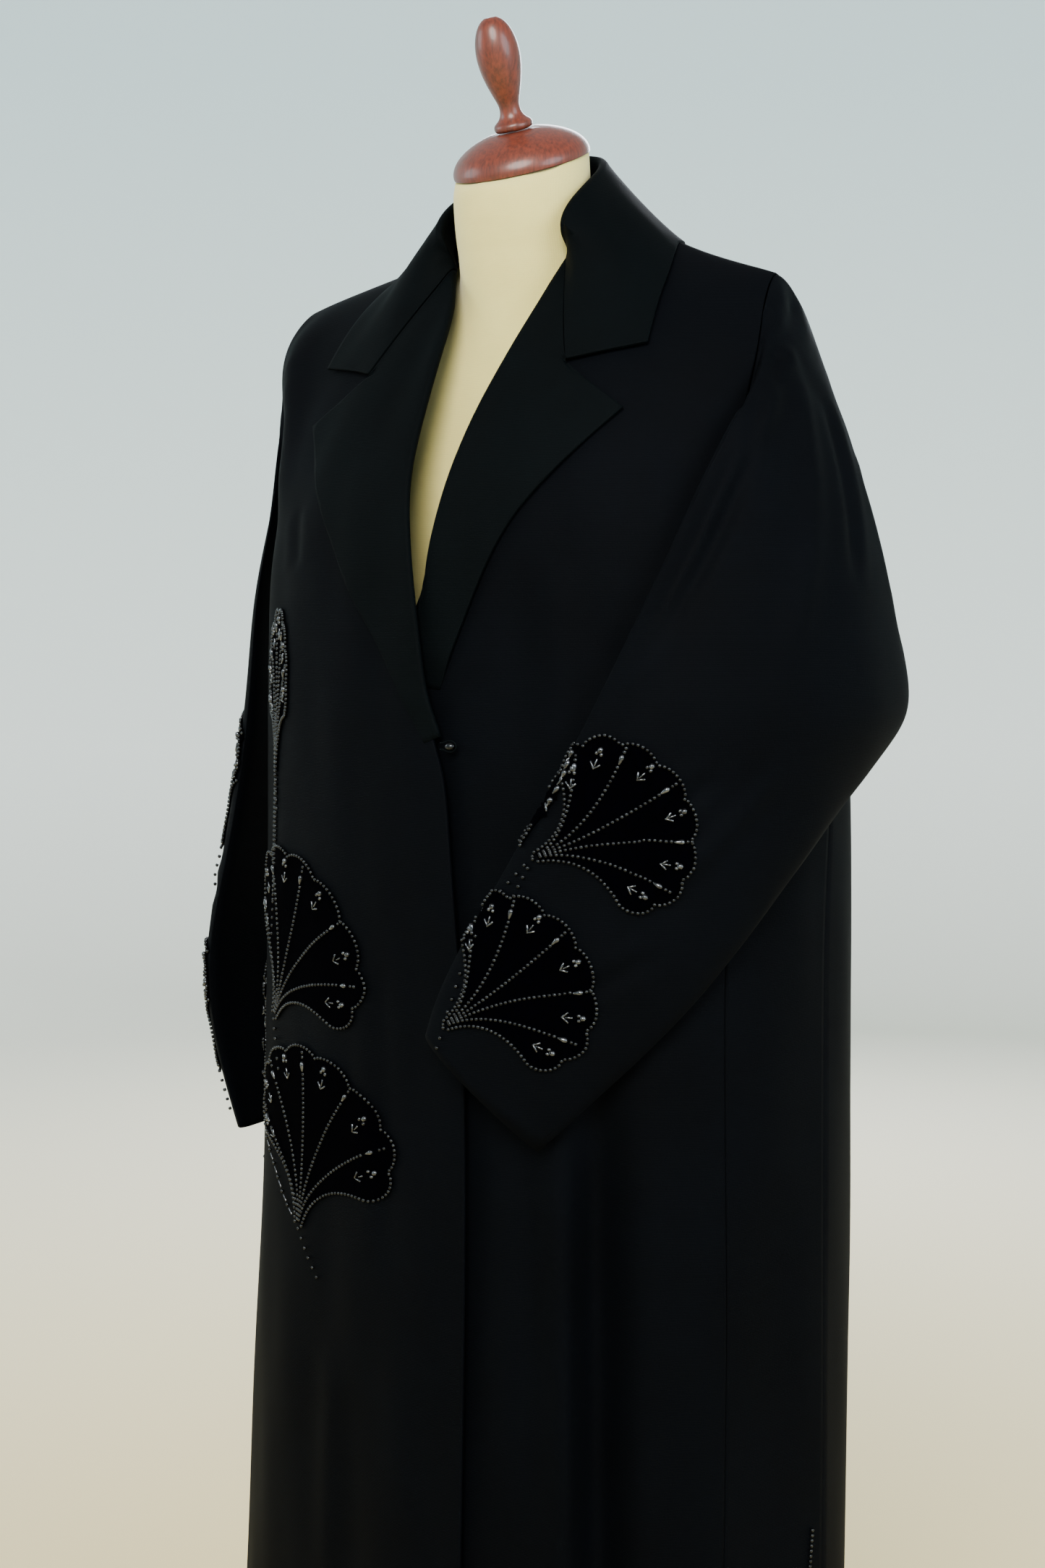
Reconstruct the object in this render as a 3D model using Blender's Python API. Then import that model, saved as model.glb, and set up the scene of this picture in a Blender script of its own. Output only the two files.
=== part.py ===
"""Abaya cloak on a limbless dress form, in metres.

The wearer's left is +X, the front faces -Y and +Z is up. The origin is on the floor, under the middle of the
stand's round base. Every cloth piece is a wall CLOTH thick: its outer face follows the surfaces below, and its
inner face is that face moved in along its normals.
"""

import math

import bmesh
import bpy
import numpy as np

# Cloth
CLOTH = 0.002
SEAM = 0.0003
HEM = 0.062
UNDERARM = 1.24
VELVET = 0.0009
VELVET_GAP = 0.0007

# Body of the cloak, level by level
# height, half width, half depth, squareness, sideways shift
BODY_LEVELS = (
    (0.062, 0.296, 0.206, 2.15, -0.017),
    (0.34, 0.287, 0.200, 2.15, -0.011),
    (0.55, 0.279, 0.195, 2.20, -0.004),
    (0.70, 0.272, 0.191, 2.25, 0.001),
    (0.84, 0.267, 0.189, 2.35, 0.003),
    (1.00, 0.262, 0.187, 2.40, 0.004),
    (1.12, 0.258, 0.183, 2.45, 0.002),
    (1.19, 0.254, 0.179, 2.50, 0.0),
    (1.24, 0.246, 0.173, 2.50, 0.0),
)

# Lengthwise folds of the skirt, each a ridge or, where its rise is below zero, a trough
# angle from the front's middle in degrees, spread before it, spread after it, rise, power, starts at, full at
FOLDS = (
    (37.4, 13.0, 2.6, 0.008, 1.5, 0.82, 0.62),
    (44.5, 5.0, 8.0, -0.019, 2.0, 0.82, 0.60),
    (61.0, 7.0, 7.0, 0.005, 2.0, 0.90, 0.55),
    (76.0, 6.0, 6.0, -0.006, 2.0, 0.85, 0.40),
    (90.0, 7.0, 7.0, 0.004, 2.0, 0.80, 0.40),
    (112.0, 9.0, 9.0, -0.009, 2.0, 0.95, 0.30),
    (136.0, 8.0, 8.0, 0.008, 2.0, 1.05, 0.30),
    (157.0, 8.0, 8.0, -0.010, 2.0, 1.00, 0.30),
    (178.0, 8.0, 8.0, 0.009, 2.0, 1.10, 0.35),
    (-160.0, 8.0, 8.0, -0.010, 2.0, 1.00, 0.30),
    (-138.0, 8.0, 8.0, 0.008, 2.0, 1.05, 0.30),
    (-114.0, 9.0, 9.0, -0.008, 2.0, 0.95, 0.30),
    (-88.0, 7.0, 7.0, 0.004, 2.0, 0.90, 0.40),
    (-18.0, 9.0, 9.0, -0.003, 2.0, 0.70, 0.25),
)

# Shoulder line: distance from the middle, height
SHOULDER_LINE = (
    (0.0, 1.488),
    (0.060, 1.489),
    (0.078, 1.484),
    (0.105, 1.474),
    (0.136, 1.462),
    (0.165, 1.4535),
    (0.206, 1.441),
    (0.235, 1.430),
)
SHOULDER_SET_BACK = 0.005
# How the worn shoulders sit: the right one's end stands out square, the left one has sunk
RIGHT_SHOULDER_OUT = 0.048
RIGHT_SHOULDER_DOWN = 0.006
LEFT_SHOULDER_DOWN = 0.0105

# Armhole: share of the way up from the underarm to the shoulder line, distance from the middle
ARMHOLE = ((0.0, 0.222), (0.35, 0.227), (0.65, 0.226), (1.0, 0.215))

# Seams: height, angle from the front's middle in degrees
FRONT_SEAM = ((0.062, 66.5), (0.46, 66.0), (0.80, 65.0), (1.10, 65.8), (1.24, 66.9))
BACK_SEAM = ((0.062, 86.0), (0.60, 87.0), (0.90, 89.0), (1.24, 101.0))

# The fronts' inner edges: height, distance from the middle
RIGHT_EDGE = (
    (0.062, 0.0500),
    (0.393, 0.0520),
    (0.572, 0.0530),
    (0.766, 0.0525),
    (0.90, 0.0455),
    (0.94, 0.0400),
    (1.040, 0.0310),
    (1.052, 0.0270),
    (1.064, 0.0165),
    (1.085, 0.0100),
    (1.141, 0.0005),
    (1.184, -0.0075),
    (1.234, -0.0165),
    (1.31, -0.0255),
    (1.36, -0.0290),
    (1.40, -0.0355),
    (1.437, -0.0545),
    (1.49, -0.0780),
)
LEFT_EDGE = (
    (0.062, 0.0100),
    (0.60, 0.0130),
    (0.90, 0.0050),
    (1.052, -0.0120),
    (1.130, -0.0160),
    (1.155, -0.0120),
    (1.172, 0.0030),
    (1.195, 0.0090),
    (1.22, 0.0145),
    (1.254, 0.0225),
    (1.304, 0.0345),
    (1.36, 0.0495),
    (1.40, 0.0590),
    (1.437, 0.0625),
    (1.49, 0.0780),
)
OVERLAP_LIFT = 0.009

# Lapels: height, distance from the middle of the outer edge, from the notch down to the break
NOTCH = (0.097, 1.352)
LAPEL_TIP = (0.1526, 1.313)
COLLAR_POINT = (0.156, 1.364)
LEFT_LAPEL_EDGE = (
    (1.096, 0.0200),
    (1.105, 0.0230),
    (1.137, 0.0365),
    (1.166, 0.0485),
    (1.196, 0.0615),
    (1.225, 0.0765),
    (1.254, 0.1005),
    (1.281, 0.1240),
    (1.313, 0.1526),
)
RIGHT_LAPEL_EDGE = (
    (1.054, 0.0120),
    (1.061, 0.0070),
    (1.101, -0.0150),
    (1.145, -0.0470),
    (1.196, -0.0835),
    (1.257, -0.1200),
    (1.313, -0.1526),
)
GORGE_HEIGHT = 1.437
LAPEL_LIE = 0.0026
LAPEL_ROLL = 0.0035
LAPEL_BREAK = {"left": 1.098, "right": 1.058}
GORGE_GAP = 0.0010
ROLL_GAP = 0.0024

# Collar on the left side, from the gorge round to the middle of the back: share of the way,
# neck seam x y z, crest of the roll x y z, outer edge x y
COLLAR_STATIONS = (
    (0.00, 0.0625, -0.0930, 1.437, 0.0580, -0.1010, 1.4400, 0.156, -0.0920),
    (0.16, 0.0665, -0.0600, 1.461, 0.0645, -0.0840, 1.4700, 0.149, -0.0640),
    (0.32, 0.0730, -0.0260, 1.479, 0.0670, -0.0560, 1.4980, 0.138, -0.0300),
    (0.50, 0.0735, 0.0050, 1.486, 0.0620, -0.0190, 1.5200, 0.122, 0.0150),
    (0.70, 0.0560, 0.0340, 1.481, 0.0440, 0.0160, 1.5380, 0.094, 0.0620),
    (0.86, 0.0290, 0.0500, 1.475, 0.0230, 0.0300, 1.5450, 0.050, 0.0840),
    (1.00, 0.0000, 0.0540, 1.471, 0.0000, 0.0340, 1.5480, 0.000, 0.0880),
)
COLLAR_ROLL = 0.0042
COLLAR_LIE = 0.0026

# Sleeves, ring by ring from below the armhole to the cuff: front edge angle and height, back edge angle and
# height, front edge off the body, back edge off the body, half thickness, how far the inner side hangs below
LEFT_SLEEVE = (
    (66.0, 1.297, 98.0, 1.300, 0.0135, 0.020, 0.0090, 0.085),
    (58.0, 1.234, 100.0, 1.240, 0.021, 0.036, 0.0150, 0.050),
    (52.0, 1.180, 102.0, 1.182, 0.023, 0.039, 0.0170, 0.025),
    (46.0, 1.128, 104.0, 1.130, 0.023, 0.044, 0.0180, 0.008),
    (40.8, 1.081, 105.5, 1.082, 0.023, 0.050, 0.0180, 0.0),
    (34.5, 1.032, 97.0, 1.038, 0.021, 0.030, 0.0160, 0.0),
    (27.0, 0.979, 86.0, 1.003, 0.020, 0.022, 0.0145, 0.0),
    (21.0, 0.940, 74.5, 0.953, 0.019, 0.020, 0.0135, 0.0),
    (16.0, 0.908, 64.6, 0.897, 0.0200, 0.018, 0.0120, 0.0),
    (9.6, 0.865, 52.0, 0.829, 0.0235, 0.017, 0.0110, 0.0),
    (6.3, 0.826, 31.5, 0.743, 0.0250, 0.020, 0.0100, 0.0),
)
RIGHT_SLEEVE = (
    (76.0, 1.300, 103.0, 1.298, 0.0085, 0.012, 0.0040, 0.080),
    (71.0, 1.240, 105.0, 1.240, 0.0100, 0.023, 0.0060, 0.050),
    (69.0, 1.180, 107.0, 1.180, 0.0145, 0.036, 0.0095, 0.020),
    (70.0, 1.100, 109.0, 1.100, 0.0200, 0.048, 0.0140, 0.0),
    (71.0, 1.020, 111.0, 1.030, 0.0300, 0.054, 0.0180, 0.0),
    (71.0, 0.940, 109.5, 0.960, 0.0430, 0.055, 0.0180, 0.0),
    (70.4, 0.880, 105.0, 0.880, 0.0550, 0.046, 0.0180, 0.0),
    (70.0, 0.820, 100.7, 0.810, 0.0600, 0.035, 0.0170, 0.0),
    (70.0, 0.750, 96.0, 0.740, 0.0460, 0.022, 0.0140, 0.0),
    (70.0, 0.690, 94.0, 0.685, 0.0270, 0.016, 0.0110, 0.0),
)
ARMHOLE_STEPS = 6
SLEEVE_RINGS = 19
SLEEVE_SIDES = 20

# Leaves on the body: panel, angle and height of the foot, angle it faces, lean in degrees, length
BODY_LEAVES = (
    ("leaf_right_front_top", "right_front", -60.0, 1.050, -57.0, -2.0, 0.140),
    ("leaf_right_front_middle", "right_front", -50.5, 0.808, -36.0, 40.0, 0.157),
    ("leaf_right_front_low", "right_front", -38.5, 0.637, -30.0, 20.0, 0.160),
    ("leaf_right_side", "right_side", -75.0, 0.700, -75.0, 0.0, 0.150),
)
# Leaves on the sleeves: sleeve, foot's ring and column, faced ring and column, first and last column of the
# sleeve that it may reach, heading x y z, length, 1 or -1 where it is mirrored
SLEEVE_LEAVES = (
    ("leaf_left_sleeve_upper", "left_sleeve", 13.35, 3.6, 12.6, 1.0, -4, 4, (0.80, 0.15, 0.57), 0.132, 1),
    ("leaf_left_sleeve_lower", "left_sleeve", 17.35, 3.8, 16.2, 1.2, -4, 4, (0.80, 0.15, 0.57), 0.134, 1),
    ("leaf_left_sleeve_inner", "left_sleeve", 13.2, 4.6, 12.2, 5.4, 4, 8, (0.45, 0.05, 0.89), 0.090, 1),
    ("leaf_right_sleeve_upper", "right_sleeve", 12.6, 3.4, 12.0, 1.0, -4, 4, (0.0, 0.60, 0.80), 0.132, -1),
    ("leaf_right_sleeve_lower", "right_sleeve", 16.8, 3.6, 16.0, 1.0, -4, 4, (0.0, 0.60, 0.80), 0.134, -1),
)
LEAF_LOBES = 8
LEAF_REACH = 0.07

# Button and loop
# distance from the middle, height
BUTTON_PLACE = (0.0365, 1.0525)
# depth behind the bead's middle, half width, half height
BUTTON_PROFILE = (
    (-0.0034, 0.0012, 0.0008),
    (-0.0029, 0.0030, 0.0020),
    (-0.0016, 0.0045, 0.0031),
    (0.0, 0.0050, 0.0035),
    (0.0016, 0.0045, 0.0031),
    (0.0028, 0.0026, 0.0018),
    (0.0033, 0.0010, 0.0010),
)
LOOP_THREAD = 0.0007

# Dress form
NECK_LEAN = math.radians(22.5)
NECK_TOP = (0.0, -0.041, 1.528)
NECK_RADIUS = 0.0575
# height, neck's middle, neck radius, half width, depth to the front, depth to the back, middle of the level
TORSO_LEVELS = (
    (0.800, -0.020, 0.050, 0.180, 0.110, 0.125, 0.0),
    (0.880, -0.020, 0.050, 0.183, 0.112, 0.128, 0.0),
    (0.980, -0.020, 0.050, 0.160, 0.102, 0.108, 0.0),
    (1.060, -0.020, 0.050, 0.140, 0.098, 0.098, 0.0),
    (1.150, -0.020, 0.050, 0.152, 0.122, 0.108, 0.0),
    (1.230, -0.020, 0.050, 0.168, 0.133, 0.118, 0.0),
    (1.300, -0.020, 0.052, 0.180, 0.116, 0.112, 0.002),
    (1.360, -0.020, 0.056, 0.190, 0.086, 0.094, 0.003),
    (1.405, -0.022, 0.057, 0.192, 0.060, 0.072, 0.004),
    (1.430, -0.028, 0.059, 0.189, 0.044, 0.058, 0.004),
    (1.444, -0.031, 0.0595, 0.1790, 0.034, 0.046, 0.004),
    (1.4515, -0.032, 0.0595, 0.1580, 0.028, 0.040, 0.004),
    (1.459, -0.034, 0.0595, 0.1367, 0.022, 0.034, 0.004),
    (1.467, -0.036, 0.0595, 0.1143, 0.016, 0.026, 0.003),
    (1.474, -0.037, 0.0595, 0.078, 0.010, 0.018, -0.002),
    (1.483, -0.039, 0.0590, 0.040, 0.010, 0.014, -0.016),
    (1.500, -0.041, 0.0585, 0.030, 0.010, 0.010, -0.036),
)
BOARD = 0.012
POLE_RADIUS = 0.016
BASE_RADIUS = 0.185
BASE_THICKNESS = 0.028
# Cap and finial, turned: distance along the axis from the neck's top, radius
CAP_PROFILE = ((0.0, 0.0585), (0.004, 0.0590), (0.012, 0.0555), (0.020, 0.0455), (0.0262, 0.0310), (0.0285, 0.0200))
FINIAL_PROFILE = (
    (0.0290, 0.0150),
    (0.0310, 0.0168),
    (0.0345, 0.0166),
    (0.0365, 0.0145),
    (0.0390, 0.0110),
    (0.0435, 0.0088),
    (0.0490, 0.0086),
    (0.0535, 0.0100),
    (0.0615, 0.0130),
    (0.0740, 0.0170),
    (0.0870, 0.0188),
    (0.0985, 0.0182),
    (0.1090, 0.0150),
    (0.1160, 0.0103),
    (0.1190, 0.0050),
)

FINISHES = {
    "crepe": ((0.0055, 0.0075, 0.0090), 0.85, 0.0),
    "velvet": ((0.0020, 0.0020, 0.0025), 0.95, 0.0),
    "bead": ((0.08, 0.09, 0.10), 0.20, 0.6),
    "jersey": ((0.61, 0.57, 0.37), 0.90, 0.0),
    "mahogany": ((0.070, 0.020, 0.012), 0.30, 0.0),
    "steel": ((0.45, 0.45, 0.46), 0.35, 1.0),
}


# Helpers


def through(table, column, at):
    """A smooth curve through one column of a table, read at some values of its first column, without overshoot."""
    known = np.array([row[0] for row in table], float)
    values = np.array([row[column] for row in table], float)
    gaps = np.diff(known)
    slopes = np.diff(values) / gaps
    turns = np.concatenate([slopes[:1], np.zeros(len(slopes) - 1), slopes[-1:]])
    same = slopes[:-1] * slopes[1:] > 0
    turns[1:-1][same] = 2 * slopes[:-1][same] * slopes[1:][same] / (slopes[:-1][same] + slopes[1:][same])
    at = np.clip(np.asarray(at, float), known[0], known[-1])
    index = np.clip(np.searchsorted(known, at, side="right") - 1, 0, len(gaps) - 1)
    gap = gaps[index]
    part = (at - known[index]) / gap
    start = (1 + 2 * part) * (1 - part) ** 2 * values[index] + part * (1 - part) ** 2 * gap * turns[index]
    end = part**2 * (3 - 2 * part) * values[index + 1] + part**2 * (part - 1) * gap * turns[index + 1]
    return start + end


def ease(value, low, high):
    """0 below low, 1 above high and smooth between. It falls instead where low is above high."""
    part = np.clip((value - low) / (high - low), 0, 1)
    return part * part * (3 - 2 * part)


def unit(vectors):
    return vectors / np.maximum(np.linalg.norm(vectors, axis=-1, keepdims=True), 1e-12)


# Surfaces of the cloak's outer face


def fold_rise(angle, height):
    """How far the skirt's folds stand out, at angles in radians."""
    total = np.zeros(np.broadcast(angle, height).shape)
    for middle, before, after, rise, power, starts, full in FOLDS:
        turn = (np.degrees(angle) - middle + 180) % 360 - 180
        spread = np.where(turn < 0, before, after)
        total = total + rise * np.exp(-np.abs(turn / spread) ** power) * ease(height, starts, full)
    return total


def body_point(angle, height, folded=1.0):
    """The body below the underarm, at an angle in radians from the front's middle."""
    wide, deep, square, shift = (through(BODY_LEVELS, column, height) for column in (1, 2, 3, 4))
    ring = (np.abs(np.sin(angle) / wide) ** square + np.abs(np.cos(angle) / deep) ** square) ** (-1 / square)
    ring = ring + folded * fold_rise(angle, height)
    return np.stack(np.broadcast_arrays(shift + ring * np.sin(angle), -ring * np.cos(angle), height), axis=-1)


def depth_at(across, height):
    """Half depth of the plain body at a distance from the middle."""
    wide, deep, square, shift = (through(BODY_LEVELS, column, height) for column in (1, 2, 3, 4))
    inside = np.clip(1 - np.abs((across - shift) / wide) ** square, 1e-6, 1)
    return deep * inside ** (1 / square)


def angle_at(across, height):
    """The angle at which the plain body is this far from the middle."""
    shift = through(BODY_LEVELS, 4, height)
    return np.arctan2(across - shift, depth_at(across, height))


def shoulder_height(across):
    return through(SHOULDER_LINE, 1, np.abs(across))


def hanging_fold(across, rise):
    """The soft upright fold in front of the right armhole."""
    middle = -0.208 + 0.016 * rise
    return 0.016 * np.exp(-(((across - middle) / 0.012) ** 2)) * ease(rise, 1.0, 0.72)


def upper_front(across, rise):
    """The front above the underarm. Rise runs from 0 at the underarm to 1 on the shoulder line."""
    lean = (1 - np.clip(rise, 0, 1) ** 1.4) ** 0.72
    flat = depth_at(across, UNDERARM)
    y = SHOULDER_SET_BACK - (SHOULDER_SET_BACK + flat) * lean - hanging_fold(across, rise)
    z = UNDERARM + (shoulder_height(across) - UNDERARM) * rise
    return np.stack(np.broadcast_arrays(across, y, z), axis=-1)


def upper_back(across, rise):
    lean = (1 - np.clip(rise, 0, 1) ** 2.2) ** 0.62
    flat = depth_at(across, UNDERARM)
    y = SHOULDER_SET_BACK + (flat - SHOULDER_SET_BACK) * lean
    z = UNDERARM + (shoulder_height(across) - UNDERARM) * rise
    return np.stack(np.broadcast_arrays(across, y, z), axis=-1)


def front_point(across, height):
    """The front at a distance from the middle and a height."""
    across, height = np.broadcast_arrays(np.asarray(across, float), np.asarray(height, float))
    low = body_point(angle_at(across, np.minimum(height, UNDERARM)), np.minimum(height, UNDERARM))
    rise = np.clip((height - UNDERARM) / (shoulder_height(across) - UNDERARM), 0, 0.9999)
    high = upper_front(across, rise)
    return np.where((height <= UNDERARM)[..., None], low, high)


def front_normal(across, height):
    step = 0.0015
    sideways = front_point(across + step, height) - front_point(across - step, height)
    upwards = front_point(across, height + step) - front_point(across, height - step)
    return unit(np.cross(sideways, upwards))


def overlap_lift(across, height):
    """How far the right front stands off where it laps over the left."""
    edge = through(RIGHT_EDGE, 1, height)
    return OVERLAP_LIFT * ease(across, edge - 0.17, edge - 0.03) * ease(height, 1.33, 1.24)


# Panels, each a function of a share across u and a place upwards v, 0 to 1 below the underarm and 1 to 2 above


def front_panel(side):
    """The left front for side 1, the right front for side -1, from its inner edge to the side panel and armhole."""
    edge = LEFT_EDGE if side > 0 else RIGHT_EDGE
    ridge_share = 0.36

    def lower(u, height):
        start = angle_at(through(edge, 1, height), height)
        end = side * np.radians(through(FRONT_SEAM, 1, height))
        ridge = np.radians(FOLDS[0][0])
        bent = np.where(u < ridge_share, start + (ridge - start) * u / ridge_share, ridge + (end - ridge) * (u - ridge_share) / (1 - ridge_share))
        angle = bent if side > 0 else start + (end - start) * u
        return angle

    def surface(u, v):
        height = HEM + (UNDERARM - HEM) * np.clip(v, 0, 1)
        angle = lower(u, height)
        low = body_point(angle, height)
        rise = np.sin(np.clip(v - 1, 0, 1) * math.pi / 2)
        far = side * through(ARMHOLE, 1, rise)
        top = through(edge, 1, UNDERARM + (shoulder_height(0.07) - UNDERARM) * rise)
        start = through(edge, 1, UNDERARM)
        end = side * ARMHOLE[0][1]
        share = (low[..., 0] - start) / (end - start)
        high = upper_front(top + (far - top) * share, rise)
        return np.where((v <= 1)[..., None], low, high)

    if side > 0:
        return surface

    def lifted(u, v):
        place = surface(u, v)
        lift = overlap_lift(place[..., 0], place[..., 2])
        return place - lift[..., None] * np.array([0.0, 1.0, 0.0])

    return lifted


def side_panel(side):
    def surface(u, v):
        height = HEM + (UNDERARM - HEM) * v
        start = np.radians(through(FRONT_SEAM, 1, height))
        end = np.radians(through(BACK_SEAM, 1, height))
        return body_point(side * (start + (end - start) * u), height)

    return surface


def neck_dip(share):
    """The share of the rise that the back keeps, at a share of its width, where the neck is cut out of it."""
    return 1 - 0.079 * np.clip(1 - (share / 0.363) ** 2, 0, 1) ** 0.7


def back_panel():
    def surface(u, v):
        height = HEM + (UNDERARM - HEM) * np.clip(v, 0, 1)
        start = np.radians(through(BACK_SEAM, 1, height))
        angle = start + (2 * math.pi - 2 * start) * u
        low = body_point(angle, height)
        rise = np.sin(np.clip(v - 1, 0, 1) * math.pi / 2)
        seam = np.radians(BACK_SEAM[-1][1])
        widest = body_point(np.array(seam), np.array(UNDERARM))[0]
        far = through(ARMHOLE, 1, rise) + (widest - ARMHOLE[0][1]) * (1 - rise) ** 2
        share = low[..., 0] / widest
        capped = rise * neck_dip(share)
        high = upper_back(far * share, capped)
        return np.where((v <= 1)[..., None], low, high)

    return surface


# Walls


def normals_of(surface, us, vs, flip):
    """Unit normals of a surface at every pair of us and vs."""
    step = 0.004
    u, v = np.meshgrid(us, vs)
    v = np.minimum(v, vs[-1] - 0.02 if vs[-1] > 1 else vs[-1])
    along = surface(np.clip(u + step, us[0], us[-1]), v) - surface(np.clip(u - step, us[0], us[-1]), v)
    up = surface(u, np.maximum(v + step, v)) - surface(u, np.maximum(v - step, vs[0]))
    return unit(np.cross(along, up)) * (-1 if flip else 1)


def material(name):
    """A plain Principled material in a finish's colour, roughness and metallic value."""
    if name in bpy.data.materials:
        return bpy.data.materials[name]
    colour, rough, metal = FINISHES[name]
    made = bpy.data.materials.new(name)
    made.use_nodes = True
    shader = made.node_tree.nodes["Principled BSDF"]
    shader.inputs["Base Color"].default_value = (*colour, 1.0)
    shader.inputs["Roughness"].default_value = rough
    shader.inputs["Metallic"].default_value = metal
    return made


def settled(points, finish):
    """Points moved as the shoulders sit on the form. Only the cloth moves on the right."""
    x, y, z = np.asarray(points, float).T
    right = ease(x, -0.12, -0.222) * ease(z, 1.28, 1.42) * (finish == "crepe")
    left = ease(x, 0.05, 0.19) * ease(z, 1.28, 1.41) * ease(y, -0.10, -0.02)
    down = RIGHT_SHOULDER_DOWN * right + LEFT_SHOULDER_DOWN * left
    return np.stack([x - RIGHT_SHOULDER_OUT * right, y, z - down], axis=-1)


def solid(name, points, faces, finish, smooth=True):
    """One closed mesh object, with its faces turned outwards."""
    mesh = bpy.data.meshes.new(name)
    mesh.from_pydata([tuple(map(float, point)) for point in settled(points, finish)], [], faces)
    made = bpy.data.objects.new(name, mesh)
    bpy.context.scene.collection.objects.link(made)
    mesh.materials.append(material(finish))
    turn_out(mesh)
    if smooth:
        mesh.shade_smooth()
        mesh.set_sharp_from_angle(angle=math.radians(40))
    return made


def turn_out(mesh):
    """Turns every face of a closed mesh outwards."""
    work = bmesh.new()
    work.from_mesh(mesh)
    bmesh.ops.recalc_face_normals(work, faces=work.faces)
    if work.calc_volume(signed=True) < 0:
        bmesh.ops.reverse_faces(work, faces=work.faces)
    work.to_mesh(mesh)
    work.free()


def wall(name, outer, inner, finish, tube=False):
    """A closed wall between two grids of points. A tube's columns meet round it, and its two ends stay open."""
    rows, columns = outer.shape[:2]
    points = np.concatenate([outer.reshape(-1, 3), inner.reshape(-1, 3)])
    faces = []

    def at(face, row, column):
        return face * rows * columns + row * columns + column % columns

    spans = columns if tube else columns - 1
    for row in range(rows - 1):
        for column in range(spans):
            over = (column + 1) % columns
            rising = np.linalg.norm(outer[row, column] - outer[row + 1, over])
            falling = np.linalg.norm(outer[row, over] - outer[row + 1, column])
            for face in (0, 1):
                corners = [at(face, row, column), at(face, row, over), at(face, row + 1, over), at(face, row + 1, column)]
                start = 0 if rising < falling else 1
                for first in (start, start + 2):
                    triangle = [corners[first % 4], corners[(first + 1) % 4], corners[(first + 2) % 4]]
                    faces.append(triangle if face == 0 else triangle[::-1])
    for column in range(spans):
        for row in (0, rows - 1):
            faces.append([at(0, row, column), at(0, row, column + 1), at(1, row, column + 1), at(1, row, column)])
    if not tube:
        for row in range(rows - 1):
            for column in (0, columns - 1):
                faces.append([at(0, row, column), at(0, row + 1, column), at(1, row + 1, column), at(1, row, column)])
    return solid(name, points, faces, finish)


def panel(name, surface, us, vs, flip=False, trims=()):
    """A panel's wall, and its outer points with their normals. Each trim moves one edge off its seam by a vector."""
    u, v = np.meshgrid(us, vs)
    outer = surface(u, v)
    outward = normals_of(surface, us, vs, flip)
    inner = outer - CLOTH * outward
    for grid in (outer, inner):
        for edge, shift in trims:
            picked = {"first": np.s_[:, 0], "last": np.s_[:, -1], "top": np.s_[-1, :]}[edge]
            grid[picked] = grid[picked] + shift
    wall(name, outer, inner, "crepe")
    return outer, outward


ROW_HEIGHTS = (0.062, 0.16, 0.26, 0.36, 0.46, 0.55, 0.64, 0.72, 0.80, 0.87, 0.93, 0.985, 1.03, 1.07, 1.11, 1.15, 1.185, 1.215, 1.24)


def heights(upper_rows):
    """Places upwards for a panel: the row heights below the underarm, then this many spans above it."""
    lower = (np.array(ROW_HEIGHTS) - HEM) / (UNDERARM - HEM)
    return np.concatenate([lower, 1 + np.linspace(0, 1, upper_rows + 1)[1:]])


def make_body():
    """Fronts, side panels and back. It returns the grids that carry leaves, by name."""
    gap = 0.00025
    sides = {"left": 1, "right": -1}
    grids = {}
    for name, side in sides.items():
        columns = np.concatenate([np.linspace(0, 0.36, 5), np.linspace(0.36, 1, 9)[1:]]) if side > 0 else np.linspace(0, 1, 12)
        along_seam = np.array([-side * gap * 0.4, -gap * 0.9, 0.0])
        trims = (("last", along_seam), ("top", np.array([0.0, -0.0006, 0.0])))
        grids[f"{name}_front"] = panel(f"{name}_front", front_panel(side), columns, heights(9), side < 0, trims)
        grids[f"{name}_side"] = panel(
            f"{name}_side",
            side_panel(side),
            np.linspace(0, 1, 5),
            heights(0),
            side < 0,
            (("first", -along_seam), ("last", np.array([0.0, -gap, 0.0]))),
        )
    panel("back", back_panel(), np.linspace(0, 1, 21), heights(8), False, (("top", np.array([0.0, 0.0006, 0.0])),))
    return grids


# Sleeves


def armhole_loop(side):
    """Points round the armhole, their outward normals and the way the cloth goes on there, from the shoulder forwards."""
    half = SLEEVE_SIDES // 4 * 2
    front, back, gore = front_panel(side), back_panel(), side_panel(side)
    rise = np.linspace(1, 2, half - 1)
    low = np.linspace(0, 1, 5)
    edge = 0.0 if side > 0 else 1.0
    picks = (
        (front, np.array([0.99, 1.0]), rise, np.s_[::-1, -1], side < 0),
        (gore, low, np.array([0.99, 1.0]), np.s_[-1, 1:-1], side < 0),
        (back, np.array([edge, edge + 0.01]) if side > 0 else np.array([0.99, 1.0]), rise, np.s_[:-1, 0 if side > 0 else -1], False),
    )
    points, normals = [], []
    for surface, us, vs, pick, flip in picks:
        u, v = np.meshgrid(us, vs)
        points.append(surface(u, v)[pick])
        normals.append(normals_of(surface, us, vs, flip)[pick])
    points, normal = np.concatenate(points), np.concatenate(normals)
    tangent = unit(np.roll(points, -1, axis=0) - np.roll(points, 1, axis=0))
    leaves = unit(np.cross(tangent, normal))
    outwards = points - points.mean(axis=0)
    under = (points[:, 2] < UNDERARM + 0.001)[:, None]
    wanted = np.where(under, np.array([0, 0, 1.0]), np.array([side, 0.0, 0.0]))
    leaves = leaves * np.sign((leaves * wanted).sum(axis=1, keepdims=True))
    return points, normal, leaves


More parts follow.
